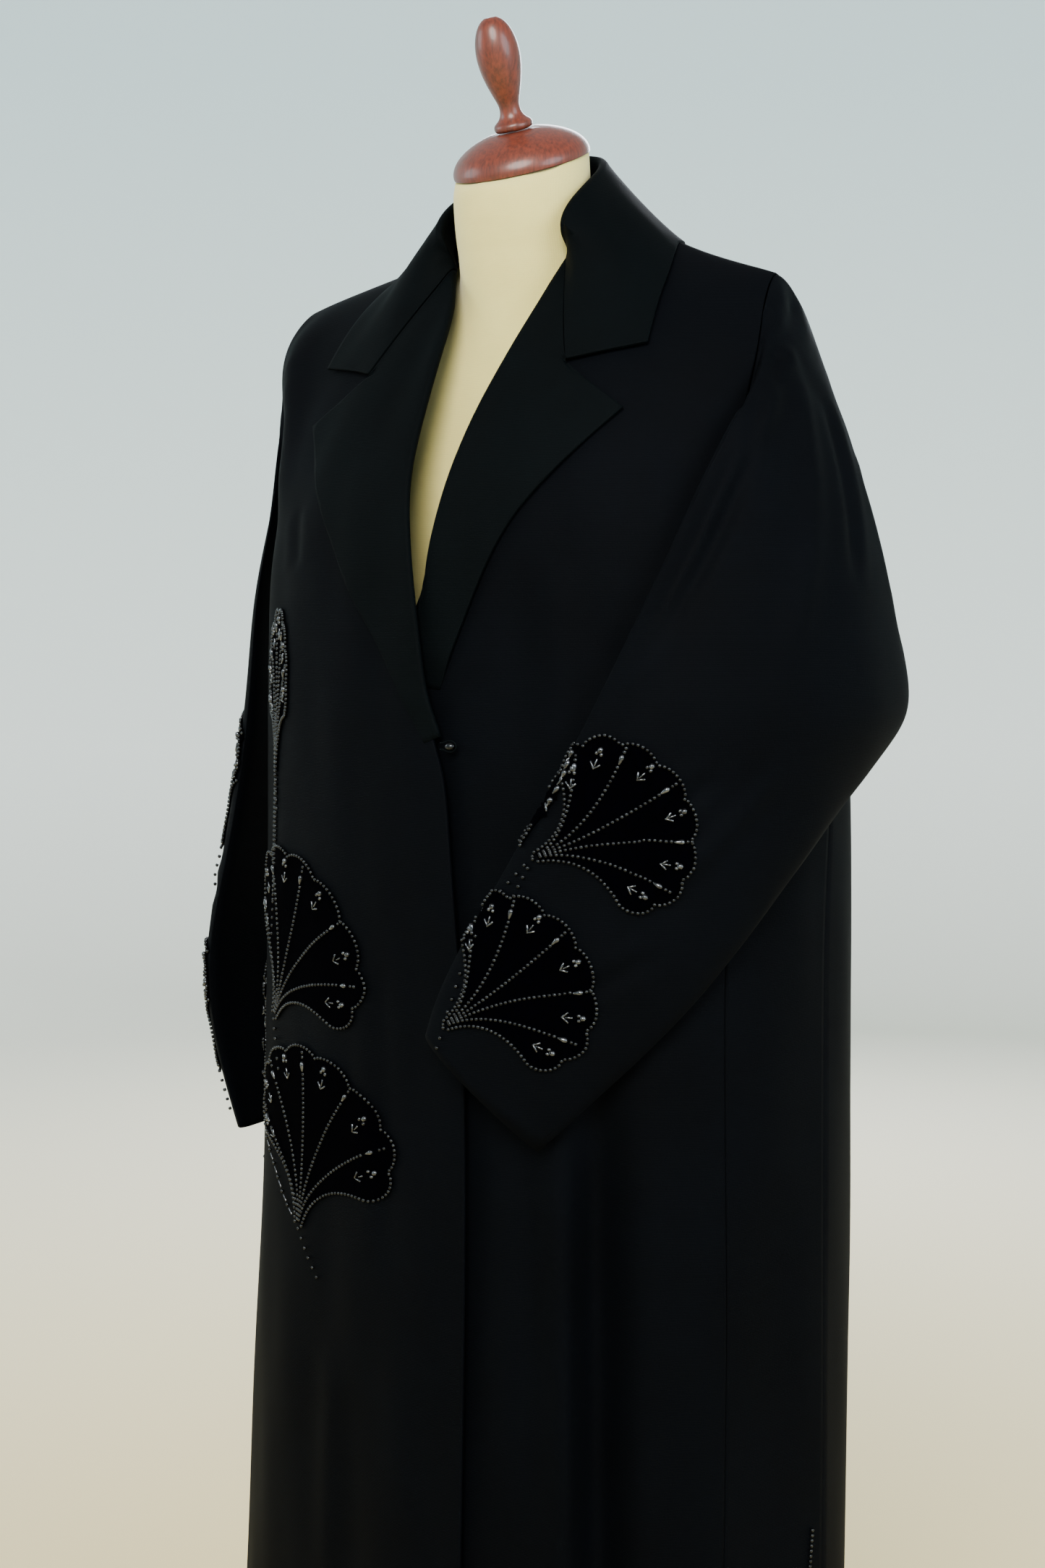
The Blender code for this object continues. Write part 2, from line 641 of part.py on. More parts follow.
def sleeve_ring(row, side, count):
    """One ring of a sleeve that hangs down, round from the middle of its outer face by way of the front edge."""
    front_angle, front_height, back_angle, back_height, front_off, back_off, half, sag = row
    turn = 2 * math.pi * np.arange(count) / count
    across = (1 - np.sin(turn)) / 2
    angle = np.radians(front_angle + (back_angle - front_angle) * across)
    height = front_height + (back_height - front_height) * across - sag * np.maximum(-np.cos(turn), 0) ** 0.7
    place = body_point(side * angle, height, 0.15)
    shift = through(BODY_LEVELS, 4, height)
    away = unit(place - np.stack([shift, np.zeros_like(shift), height], axis=-1))
    off = front_off + (back_off - front_off) * across + half * np.cos(turn)
    return place + off[:, None] * away


def sleeve_rings(side, levels, rings):
    """Every ring of a sleeve, from the armhole to the cuff."""
    table = [(index, *row) for index, row in enumerate(levels)]
    hanging = [
        sleeve_ring([through(table, column, place) for column in range(1, 9)], side, SLEEVE_SIDES)
        for place in np.linspace(0, len(levels) - 1, rings)
    ]
    start, normal, leaves = armhole_loop(side)
    turn = 2 * math.pi * np.arange(SLEEVE_SIDES) / SLEEVE_SIDES
    crown = np.maximum(np.cos(turn), 0)[:, None]
    under = np.maximum(-np.cos(turn), 0)[:, None]
    first = start + 0.0009 * leaves
    leaves = unit(leaves - np.array([0, 0, 1.4]) * crown)
    reach = 0.030 + 0.030 * crown + 0.010 * under
    arrive = unit(hanging[1] - hanging[0]) * (0.045 + 0.060 * crown)
    bridge = []
    for step in range(ARMHOLE_STEPS):
        t = step / ARMHOLE_STEPS
        bridge.append(
            (2 * t**3 - 3 * t**2 + 1) * start
            + (t**3 - 2 * t**2 + t) * reach * leaves
            + (3 * t**2 - 2 * t**3) * hanging[0]
            + (t**3 - t**2) * arrive
        )
    bridge[0] = first
    return np.array(bridge + hanging), normal


def grid_normals(grid, side):
    """Outward normals of a tube's grid of points."""
    round_it = np.roll(grid, -1, axis=1) - np.roll(grid, 1, axis=1)
    along = np.gradient(grid, axis=0)
    return unit(np.cross(round_it, along)) * side


def make_sleeves():
    """Both sleeves. It returns their outer points and normals, by name."""
    grids = {}
    for name, side, levels in (("left_sleeve", 1, LEFT_SLEEVE), ("right_sleeve", -1, RIGHT_SLEEVE)):
        outer, first = sleeve_rings(side, levels, SLEEVE_RINGS - ARMHOLE_STEPS)
        outward = grid_normals(outer, side)
        outward[0] = first
        inner = outer - CLOTH * outward
        wall(name, outer, inner, "crepe", tube=True)
        grids[name] = (outer, outward)
    return grids


# Collar and lapels


def lying(side, across, height, off):
    """A point off the outer face of a front."""
    place = front_point(across, height) + np.asarray(off)[..., None] * front_normal(across, height)
    if side < 0:
        place = place - overlap_lift(across, height)[..., None] * np.array([0.0, 1.0, 0.0])
    return place


def top_height(across, y):
    """The height of the shoulders over a point of the floor plan."""
    flat = depth_at(across, UNDERARM)
    ahead = np.clip((SHOULDER_SET_BACK - y) / (SHOULDER_SET_BACK + flat), 0, 0.999)
    behind = np.clip((y - SHOULDER_SET_BACK) / (flat - SHOULDER_SET_BACK), 0, 0.999)
    front = (1 - ahead ** (1 / 0.72)) ** (1 / 1.4)
    back = (1 - behind ** (1 / 0.62)) ** (1 / 2.2)
    rise = np.where(y < SHOULDER_SET_BACK, front, back)
    return UNDERARM + (shoulder_height(across) - UNDERARM) * rise


def top_normal(across, y):
    step = 0.002
    slope_x = (top_height(across + step, y) - top_height(across - step, y)) / (2 * step)
    slope_y = (top_height(across, y + step) - top_height(across, y - step)) / (2 * step)
    return unit(np.stack([-slope_x, -slope_y, np.ones_like(slope_x)], axis=-1))


def sheet(name, middle, finish="crepe"):
    """A wall CLOTH thick about a grid of points."""
    across = np.gradient(middle, axis=1)
    along = np.gradient(middle, axis=0)
    off = unit(np.cross(across, along)) * CLOTH / 2
    return wall(name, middle + off, middle - off, finish)


ROLL_TURNS = np.radians([0.0, 38.0, 76.0, 112.0, 146.0, 180.0])


def lapel_outer(side, share):
    """The lapel's outer edge, from the notch by way of the tip down to the break, as distance across and height."""
    edge = LEFT_LAPEL_EDGE if side > 0 else RIGHT_LAPEL_EDGE
    tip_share = 0.30
    notch = np.array([side * (NOTCH[0] + 0.0002), NOTCH[1] - 0.0012])
    tip = np.array([side * LAPEL_TIP[0], LAPEL_TIP[1]])
    if share < tip_share:
        return notch + (tip - notch) * np.interp(share, (0.0, 0.168, tip_share), (0.0, 0.035, 1.0))
    part = (share - tip_share) / (1 - tip_share)
    height = edge[-1][0] + (edge[0][0] - edge[-1][0]) * part**0.9
    return np.array([float(through(edge, 1, height)), height])


def lapel_row(side, share, columns):
    """One row of a lapel's middle, from under the roll, over it and out to the outer edge."""
    name = "left" if side > 0 else "right"
    edge_table = LEFT_EDGE if side > 0 else RIGHT_EDGE
    height = GORGE_HEIGHT + (LAPEL_BREAK[name] - GORGE_HEIGHT) * share
    outer = lapel_outer(side, share)
    roll = LAPEL_ROLL * (1 - 0.45 * share)
    edge = float(through(edge_table, 1, height))
    visible = edge - side * (roll + CLOTH / 2)
    hidden = 0.0
    if side > 0:
        right_roll = float(through(RIGHT_EDGE, 1, height)) + LAPEL_ROLL + CLOTH / 2
        hidden = float(ease(height, 1.195, 1.176))
        visible = max(float(through(((1.10, -0.018), (1.15, -0.006), (1.22, 0.010)), 1, height)), right_roll - 0.006) if height < 1.20 else visible
    start = np.array([edge, height])
    away = unit(outer - start)
    along = np.linspace(0, 1, columns) ** 1.25
    reach = np.linalg.norm(outer - start)
    chart = start + np.outer(along, outer - start)
    settle = (2 * roll - CLOTH / 2 - LAPEL_LIE) * np.exp(-along * reach / 0.010)
    off = LAPEL_LIE + settle
    fall = lying(side, chart[:, 0], chart[:, 1], off)
    normal = front_normal(start[0], start[1])
    ahead = unit(lying(side, *(start + away * 0.004), 0.0) - lying(side, *start, 0.0))
    ahead = unit(ahead - normal * (ahead @ normal))
    base = lying(side, start[0], start[1], -CLOTH / 2) - ahead * ROLL_GAP
    arc = [base + normal * roll * (1 - math.cos(turn)) - ahead * roll * math.sin(turn) for turn in ROLL_TURNS[:-1]]
    rolled = np.concatenate([arc, fall])
    if hidden == 0:
        return rolled
    start = np.array([visible, height])
    flat = start + np.outer(np.linspace(0, 1, len(rolled)), outer - start)
    return rolled * (1 - hidden) + lying(side, flat[:, 0], flat[:, 1], np.full(len(flat), LAPEL_LIE)) * hidden


def make_lapels():
    for name, side in (("left", 1), ("right", -1)):
        shares = np.array([0.0, 0.055, 0.11, 0.168, 0.23, 0.30, 0.38, 0.46, 0.54, 0.63, 0.72, 0.81, 0.90, 1.0])
        rows = np.array([lapel_row(side, share, 8) for share in shares])
        down = unit(rows[1] - rows[0])
        rows[0] = rows[0] + down * GORGE_GAP
        sheet(f"{name}_lapel", rows)


NOTCH_SHARE = 0.6


def fall_parts(columns):
    """Shares of the way down the collar's fall, with one of them at the notch."""
    inner = columns - 3
    return np.concatenate([np.linspace(0, NOTCH_SHARE, inner), np.linspace(NOTCH_SHARE, 1, 4)[1:]])


def collar_section(share, side, columns):
    """One section of the collar's middle, up the stand, over the roll and down the fall."""
    read = [float(through(COLLAR_STATIONS, column, share)) for column in range(1, 9)]
    seam, crest = np.array(read[:3]), np.array(read[3:6])
    out_x, out_y = read[6:]
    if side < 0:
        tighter = 0.0075 * float(ease(share, 0.4, 0.0))
        seam[0] -= tighter
        crest[0] -= tighter
    gorge = front_normal(seam[0], GORGE_HEIGHT)
    upright = float(ease(share, 0.0, 0.30))
    up = unit(gorge * (1 - upright) + np.array([0.0, 0.0, 1.0]) * upright)
    rim = np.array([out_x, out_y, float(top_height(np.array(out_x), np.array(out_y)))])
    rim = rim + COLLAR_LIE * top_normal(np.array(out_x), np.array(out_y))
    ahead = rim - crest
    ahead = unit(ahead - up * (ahead @ up))
    middle = crest - up * COLLAR_ROLL
    inside = middle - ahead * COLLAR_ROLL
    outside = middle + ahead * COLLAR_ROLL
    stand = [seam, seam + (inside - seam) * 0.5, inside]
    arc = [middle + COLLAR_ROLL * (up * math.sin(turn) - ahead * math.cos(turn)) for turn in np.radians([60.0, 120.0])]
    part = fall_parts(columns)
    fall = outside + np.outer(part, rim - outside)
    standing = np.concatenate([stand, arc, fall])
    return standing


def collar_end(side, columns):
    """The collar's end row, which follows the gorge from the roll to the notch and then its own end to the point."""
    edge_table = LEFT_EDGE if side > 0 else RIGHT_EDGE
    edge = float(through(edge_table, 1, GORGE_HEIGHT))
    start = np.array([edge, GORGE_HEIGHT])
    notch = np.array([side * NOTCH[0], NOTCH[1]])
    point = np.array([side * COLLAR_POINT[0], COLLAR_POINT[1]])
    reach, more = np.linalg.norm(notch - start), np.linalg.norm(point - notch)
    part = fall_parts(columns)
    bend = NOTCH_SHARE
    chart = np.where((part < bend)[:, None], start + np.outer(part / bend, notch - start), notch + np.outer((part - bend) / (1 - bend), point - notch))
    far = np.where(part < bend, part / bend * reach, reach + (part - bend) / (1 - bend) * more)
    off = LAPEL_LIE + (2 * LAPEL_ROLL - CLOTH / 2 - LAPEL_LIE) * np.exp(-far / 0.010)
    fall = lying(side, chart[:, 0], chart[:, 1], off)
    normal = front_normal(start[0], start[1])
    ahead = unit(fall[1] - fall[0])
    ahead = unit(ahead - normal * (ahead @ normal))
    base = lying(side, start[0], start[1], -CLOTH / 2) - ahead * ROLL_GAP
    arc = [base + normal * LAPEL_ROLL * (1 - math.cos(turn)) - ahead * LAPEL_ROLL * math.sin(turn) for turn in ROLL_TURNS[:-1]]
    return np.concatenate([arc, fall])


def keep_off(points, least):
    """Moves points out to at least this far off the shoulders."""
    across, y, height = points[:, 0], points[:, 1], points[:, 2]
    normal = top_normal(across, y)
    clear = (height - top_height(across, y)) * normal[:, 2]
    need = np.maximum(least - clear, 0)
    soft = np.where(clear > least + 0.004, 0, np.log1p(np.exp(-(clear - least) / 0.0012)) * 0.0012)
    return points + normal * np.maximum(need, soft)[:, None]


def make_collar():
    columns = 10
    halves = {}
    for side in (1, -1):
        end = collar_end(side, columns)
        rows = []
        for share in (0.0, 0.035, 0.09, 0.16, 0.24, 0.34, 0.45, 0.57, 0.70, 0.82, 0.92, 1.0):
            section = collar_section(share, side, columns)
            section[:, 0] *= side
            if share == 0.0:
                start = section
            blend = float(ease(share, 0.24, 0.0)) ** 1.5
            section = section + (end - start) * blend
            section[5:] = keep_off(section[5:], COLLAR_LIE)
            rows.append(section)
        rows = np.array(rows)
        rows[0] = rows[0] + unit(rows[1] - rows[0]) * GORGE_GAP
        halves[side] = rows
    sheet("collar", np.concatenate([halves[1], halves[-1][::-1][1:]]))


# Leaves


def leaf_outline(length, lobes):
    """The outline of a fan leaf with its foot at the origin and its tip upwards."""
    scale = length / 0.155
    rim = ((0.0, 0.0895), (60.0, 0.083), (80.0, 0.076), (108.0, 0.062))
    points = []
    count = lobes * 4
    for index in range(count + 1):
        turn = -108.0 + 216.0 * index / count
        swell = abs(math.sin(math.pi * lobes * index / count)) ** 0.7
        radius = float(through(rim, 1, abs(turn))) * (0.93 + 0.07 * swell)
        points.append((radius * math.sin(math.radians(turn)), 0.065 + radius * math.cos(math.radians(turn))))
    left, right = points[0], points[-1]
    for tip, order in ((right, (0.25, 0.5, 0.75)), (left, (0.75, 0.5, 0.25))):
        for part in order:
            bend = np.array([tip[0] * 0.30, 0.030])
            place = (1 - part) ** 2 * np.array(tip) + 2 * part * (1 - part) * bend
            points.append(tuple(place))
        if tip is right:
            points.append((0.004, 0.0))
            points.append((-0.004, 0.0))
    return [(x * scale * 1.12, y * scale) for x, y in points]


def leaf(name, outer, normals, foot, heading, facing, length, mirror=1):
    """A velvet leaf cut from a skin that lies just off a panel."""
    low = outer + VELVET_GAP * normals
    high = outer + (VELVET_GAP + VELVET) * normals
    skin = wall(name, high, low, "velvet")
    facing = unit(np.array(facing))
    heading = unit(np.array(heading) - facing * (np.array(heading) @ facing))
    beside = np.cross(heading, facing)
    flat = [np.array(foot) + mirror * x * beside + y * heading for x, y in leaf_outline(length, LEAF_LOBES)]
    count = len(flat)
    ends = [point + facing * LEAF_REACH for point in flat] + [point - facing * LEAF_REACH for point in flat]
    faces = [list(range(count)), list(range(count, 2 * count))]
    for index in range(count):
        after = (index + 1) % count
        faces.append([index, after, count + after, count + index])
    cutter = solid(f"{name}_cutter", ends, faces, "velvet", smooth=False)
    cutter.hide_render = True
    cutter.display_type = "WIRE"
    cut = skin.modifiers.new("Leaf outline", "BOOLEAN")
    cut.operation = "INTERSECT"
    cut.solver = "EXACT"
    cut.object = cutter


def on_grid(grid, row, column):
    """A point between a grid's rows and round its columns."""
    low, left = int(math.floor(row)), int(math.floor(column))
    down, over = row - low, column - left
    count = grid.shape[1]
    near = grid[low, left % count] * (1 - over) + grid[low, (left + 1) % count] * over
    far = grid[low + 1, left % count] * (1 - over) + grid[low + 1, (left + 1) % count] * over
    return near * (1 - down) + far * down


def make_leaves(body, sleeves):
    for name, carrier, angle, height, faced, lean, length in BODY_LEAVES:
        outer, normals = body[carrier]
        foot = body_point(np.radians(np.array(angle)), np.array(height))
        turn, lean = math.radians(faced), math.radians(lean)
        facing = (math.sin(turn), -math.cos(turn), 0.0)
        heading = (math.sin(lean) * math.cos(turn), math.sin(lean) * math.sin(turn), math.cos(lean))
        leaf(name, outer, normals, foot, heading, facing, length)
    for name, carrier, row, column, faced_row, faced_column, first, last, heading, length, mirror in SLEEVE_LEAVES:
        outer, normals = sleeves[carrier]
        foot = on_grid(outer, row, column)
        facing = on_grid(normals, faced_row, faced_column)
        picked = np.arange(first, last + 1)
        rows = np.arange(int(row) - 5, min(int(row) + 4, outer.shape[0]))
        near = np.ix_(rows, picked % outer.shape[1])
        ground = outer[near]
        ground[:, 0] += 0.05 * (ground[:, 1] - ground[:, 0])
        leaf(name, ground, normals[near], foot, heading, facing, length, mirror)


# Dress form


def torso_ring(height, count):
    """A level of the torso, with the neck blended into the shoulders."""
    neck_y, neck, wide, front, back, middle = (through(TORSO_LEVELS, column, height) for column in range(1, 7))
    angle = 2 * math.pi * np.arange(count) / count
    deep = np.where(np.cos(angle) > 0, front, back)
    body = ((np.abs(np.sin(angle)) / wide) ** 2.2 + (np.abs(np.cos(angle)) / deep) ** 2.2) ** (-1 / 2.2)
    along = (middle - neck_y) * np.cos(angle)
    neck = along + np.sqrt(neck**2 - (middle - neck_y) ** 2 + along**2)
    ring = (body**8 + neck**8) ** (1 / 8)
    return np.stack([ring * np.sin(angle), middle - ring * np.cos(angle), np.full(count, height)], axis=-1)


def lofted(name, rings, finish):
    """A closed solid through rings of points, with a flat end at each end."""
    count = len(rings[0])
    points = np.concatenate(rings)
    faces = [list(range(count)), [(len(rings) - 1) * count + index for index in range(count)]]
    for row in range(len(rings) - 1):
        for index in range(count):
            after = (index + 1) % count
            faces.append([row * count + index, row * count + after, (row + 1) * count + after, (row + 1) * count + index])
    return solid(name, points, faces, finish)


def neck_ring(along, radius, count):
    """A ring on the neck's leaning axis, a distance along it from the neck's top."""
    angle = 2 * math.pi * np.arange(count) / count
    axis = np.array([0.0, -math.sin(NECK_LEAN), math.cos(NECK_LEAN)])
    ahead = np.array([0.0, -math.cos(NECK_LEAN), -math.sin(NECK_LEAN)])
    right = np.array([1.0, 0.0, 0.0])
    ring = radius * (np.sin(angle)[:, None] * right + np.cos(angle)[:, None] * ahead)
    return np.array(NECK_TOP) + along * axis + ring


def turned(name, profile, finish, count=18):
    return lofted(name, [neck_ring(along, radius, count) for along, radius in profile], finish)


def round_ring(radius, height, sides):
    """A level ring round the upright axis."""
    turn = 2 * math.pi * np.arange(sides) / sides
    return np.stack([radius * np.sin(turn), radius * np.cos(turn), np.full(sides, height)], axis=-1)


def make_form():
    count = 24
    levels = [row[0] for row in TORSO_LEVELS]
    rings = [torso_ring(height, count) for height in levels]
    rings.append(0.5 * (rings[-1] + neck_ring(-0.0003, NECK_RADIUS, count)))
    rings.append(neck_ring(-0.0003, NECK_RADIUS, count))
    lofted("form_torso", rings, "jersey")
    turned("neck_cap", CAP_PROFILE, "mahogany", 24)
    turned("finial", FINIAL_PROFILE, "mahogany", 16)
    bottom = levels[0]
    board = [torso_ring(bottom, count) * (1, 1, 0) + (0, 0, bottom - SEAM - drop) for drop in (0, BOARD)]
    lofted("base_board", board, "mahogany")
    pole_top = bottom - BOARD - 2 * SEAM
    lofted("stand_pole", [round_ring(POLE_RADIUS, height, 12) for height in (BASE_THICKNESS + SEAM, pole_top)], "steel")
    base = ((0.0, BASE_RADIUS), (0.018, BASE_RADIUS), (0.025, BASE_RADIUS - 0.006), (BASE_THICKNESS, BASE_RADIUS - 0.020))
    lofted("stand_base", [round_ring(radius, height, 32) for height, radius in base], "mahogany")


# Button and loop


def make_button():
    """The oval bead at the right front's edge, with its thread back to the left front, and the loop round it."""
    x, height = BUTTON_PLACE
    edge = float(through(RIGHT_EDGE, 1, height))
    lift = float(overlap_lift(np.array(edge), np.array(height)))
    y = float(front_point(edge, height)[1]) - lift + CLOTH / 2
    behind = float(front_point(x, height)[1]) - y - SEAM - 0.0002
    sides = 12
    turn = 2 * math.pi * np.arange(sides) / sides
    rings = []
    for back, wide, tall in (*BUTTON_PROFILE, (behind, 0.0010, 0.0010)):
        rings.append(np.stack([x + wide * np.cos(turn), np.full(sides, y + back), height + tall * np.sin(turn)], axis=-1))
    lofted("button", rings, "bead")
    off = SEAM + LOOP_THREAD
    wide, tall = BUTTON_PROFILE[3][1] + off, BUTTON_PROFILE[3][2] + off
    round_it = [(x + wide * math.cos(turn), height + tall * math.sin(turn)) for turn in np.radians(np.linspace(135, -135, 15))]
    start = [(edge + SEAM + 0.0001, height + side * 0.0024) for side in (1, -1)]
    way = [start[0], *round_it, start[1]]
    path = np.array([(place[0], y, place[1]) for place in way])
    ahead = unit(np.gradient(path, axis=0))
    across = np.array([0.0, 1.0, 0.0])
    rings = []
    for place, along in zip(path, ahead):
        up = np.cross(along, across)
        small = 2 * math.pi * np.arange(6) / 6
        rings.append(place + LOOP_THREAD * (np.cos(small)[:, None] * across + np.sin(small)[:, None] * up))
    lofted("button_loop", rings, "crepe")


def main():
    for leftover in list(bpy.data.objects):
        bpy.data.objects.remove(leftover, do_unlink=True)
    make_form()
    body = make_body()
    sleeves = make_sleeves()
    make_collar()
    make_lapels()
    make_button()
    make_leaves(body, sleeves)


if __name__ == "__main__":
    main()
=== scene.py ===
"""Abaya cloak on a limbless dress form: cloth, beadwork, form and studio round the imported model.

Everything is in metres. The garment faces -Y, the wearer's left is +X and Z is up.
"""

import math
import random

import bmesh
import bpy
import numpy as np
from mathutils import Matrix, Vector
from mathutils.bvhtree import BVHTree


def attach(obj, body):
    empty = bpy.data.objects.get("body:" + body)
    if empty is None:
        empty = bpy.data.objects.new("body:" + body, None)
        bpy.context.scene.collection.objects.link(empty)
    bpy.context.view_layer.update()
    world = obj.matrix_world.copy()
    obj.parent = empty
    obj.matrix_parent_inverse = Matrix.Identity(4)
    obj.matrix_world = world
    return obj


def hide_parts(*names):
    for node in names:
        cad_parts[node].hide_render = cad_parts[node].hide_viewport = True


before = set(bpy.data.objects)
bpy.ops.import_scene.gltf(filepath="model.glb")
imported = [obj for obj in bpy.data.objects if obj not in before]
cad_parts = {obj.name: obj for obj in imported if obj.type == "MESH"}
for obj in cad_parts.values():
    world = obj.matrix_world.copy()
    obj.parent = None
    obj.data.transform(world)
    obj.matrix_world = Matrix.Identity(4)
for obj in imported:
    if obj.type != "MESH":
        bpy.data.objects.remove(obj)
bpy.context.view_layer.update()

bl_info = {
    "name": "Abaya cloak on a dress form",
    "version": (1, 0, 0),
    "blender": (4, 5, 0),
    "location": "View3D > Sidebar > Abaya",
    "description": "Builds the cloth, beadwork, dress form and studio round an abaya cloak",
    "category": "Object",
}

# Camera, as the photograph has it
CAMERA_TURN = 34.0
CAMERA_DISTANCE = 1.88
CAMERA_HEIGHT = 1.155
CAMERA_PITCH = 4.44
CAMERA_LENS = 50.0
CAMERA_SENSOR = 36.0
PHOTO_HEIGHT = 2168
AXIS_COLUMN = 760
MIDDLE_COLUMN = 722.5

# Sheets: piece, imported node, finish, rounds of smoothing, cut width, cut length, area of the cut
BODY_SHEETS = (
    ("right_front_cloth", "right_front", "woven_crepe", 3, 0.42, 1.46, 0.42),
    ("left_front_cloth", "left_front", "woven_crepe", 3, 0.4, 1.46, 0.36),
    ("right_side_cloth", "right_side", "woven_crepe", 3, 0.14, 1.2, 0.131),
    ("left_side_cloth", "left_side", "woven_crepe", 3, 0.14, 1.2, 0.131),
    ("back_cloth", "back", "woven_crepe", 2, 0.84, 1.46, 1.03),
)
SLEEVE_SHEETS = (
    ("right_sleeve_cloth", "right_sleeve", "woven_crepe", 3, 0.42, 0.76, 0.24),
    ("left_sleeve_cloth", "left_sleeve", "woven_crepe", 3, 0.44, 0.74, 0.27),
)
# Collar and lapels take a slightly lighter copy of the crepe: painted light where they catch more of the
# lamps.
COLLAR_SHEETS = (
    ("collar_cloth", "collar", "lit_lapel_crepe", 3, 0.5, 0.2, 0.076),
    ("right_lapel_cloth", "right_lapel", "lit_lapel_crepe", 3, 0.14, 0.4, 0.032),
    ("left_lapel_cloth", "left_lapel", "lit_lapel_crepe", 3, 0.13, 0.36, 0.024),
)

# Creases pressed into the cloth, by sheet: half width, depth (below zero it is a ridge), and the places that
# it runs through, each an angle from the front's middle in degrees and a height
CREASES = {
    "left_sleeve_cloth": (
        (0.0080, 0.0034, ((84.6, 1.400), (79.0, 1.366), (73.6, 1.336))),
        (0.0085, 0.0036, ((97.7, 1.411), (86.0, 1.375), (73.6, 1.336))),
        (
            0.0075,
            -0.0035,
            ((92.0, 1.394), (80.0, 1.345), (65.8, 1.265), (57.0, 1.193), (49.2, 1.115), (44.0, 1.060)),
        ),
        (0.0060, 0.0040, ((73.6, 1.330), (64.0, 1.238), (53.0, 1.150), (46.5, 1.100))),
        (0.0110, -0.0030, ((84.0, 1.360), (81.2, 1.294), (74.8, 1.182), (68.0, 1.090))),
        (0.0080, 0.0035, ((90.0, 1.330), (88.0, 1.250), (84.0, 1.170))),
        (0.0100, 0.0030, ((100.0, 1.330), (103.0, 1.230), (101.0, 1.120))),
        (0.0070, 0.0030, ((60.0, 1.040), (52.0, 1.000), (42.0, 0.965))),
        (0.0080, -0.0025, ((70.0, 1.040), (58.0, 0.975), (44.0, 0.920))),
        (0.0070, 0.0022, ((52.0, 0.900), (40.0, 0.870), (28.0, 0.855))),
    ),
    "right_sleeve_cloth": (
        (0.0060, 0.0050, ((-72.0, 0.905), (-84.0, 0.885), (-97.0, 0.868))),
        (0.0080, -0.0035, ((-72.0, 0.925), (-85.0, 0.910), (-98.0, 0.890))),
        (0.0070, 0.0035, ((-73.0, 0.870), (-82.0, 0.845), (-90.0, 0.835))),
        (0.0060, 0.0035, ((-84.0, 1.400), (-80.0, 1.350), (-74.0, 1.300))),
        (0.0090, -0.0030, ((-90.0, 1.370), (-86.0, 1.270), (-84.0, 1.160))),
        (0.0080, 0.0030, ((-98.0, 1.340), (-98.0, 1.230), (-95.0, 1.120))),
        (0.0080, 0.0025, ((-78.0, 1.120), (-84.0, 1.050), (-92.0, 0.990))),
        (0.0070, -0.0020, ((-76.0, 0.820), (-80.0, 0.760), (-82.0, 0.710))),
    ),
    "left_front_cloth": (
        (0.0160, -0.0040, ((35.5, 1.200), (35.0, 1.140), (35.8, 1.070), (36.5, 0.990))),
        (0.0120, 0.0030, ((47.0, 1.150), (50.0, 1.080), (53.0, 1.000))),
        (0.0180, 0.0100, ((42.5, 0.840), (44.0, 0.600), (44.6, 0.300), (44.6, 0.064))),
        (0.0150, -0.0055, ((36.0, 0.820), (37.0, 0.560), (37.4, 0.300), (37.4, 0.064))),
        (0.0140, -0.0020, ((22.0, 0.760), (23.5, 0.620), (24.0, 0.420))),
        (0.0120, 0.0022, ((30.0, 0.740), (31.0, 0.580), (31.5, 0.360))),
    ),
    "right_front_cloth": (
        (0.0100, 0.0020, ((-47.0, 1.245), (-44.5, 1.215), (-43.5, 1.190))),
        (0.0140, -0.0020, ((-26.0, 0.560), (-27.0, 0.420), (-27.5, 0.260))),
        (0.0120, 0.0018, ((-10.0, 0.900), (-9.0, 0.760), (-8.0, 0.600))),
    ),
    "back_cloth": (
        (0.0140, 0.0040, ((140.0, 1.300), (146.0, 1.180), (148.0, 1.040))),
        (0.0140, 0.0040, ((-140.0, 1.300), (-146.0, 1.180), (-148.0, 1.040))),
        (0.0160, -0.0040, ((124.0, 1.280), (126.0, 1.150), (127.0, 1.020))),
        (0.0160, -0.0040, ((-124.0, 1.280), (-126.0, 1.150), (-127.0, 1.020))),
        (0.0200, 0.0090, ((150.0, 0.980), (153.0, 0.700), (155.0, 0.350), (155.0, 0.064))),
        (0.0200, 0.0090, ((-150.0, 0.980), (-153.0, 0.700), (-155.0, 0.350), (-155.0, 0.064))),
        (0.0180, -0.0060, ((166.0, 0.940), (168.0, 0.650), (169.0, 0.330), (169.0, 0.064))),
        (0.0180, -0.0060, ((-166.0, 0.940), (-168.0, 0.650), (-169.0, 0.330), (-169.0, 0.064))),
    ),
}

# Lapels end flat on the front: the height of the end, where it starts to sink, how deep
SUNK_ENDS = {"right_lapel_cloth": (1.056, 1.092, 0.0034), "left_lapel_cloth": (1.096, 1.125, 0.0030)}

# Points of a crease's line between two of its places
CREASE_POINTS = 36

# How the cloth hangs unevenly: rise, waves round the garment, turn of a wave for each metre up, start
DRAPE_WAVES = ((0.0007, 9, 6.0, 0.0), (0.0005, 17, -11.0, 1.3))
# A finer ripple: rise, waves round, turn for each metre up, start, waves of the strength round
DRAPE_RIPPLE = (0.0004, 5, 21.0, 0.6, 23.0)

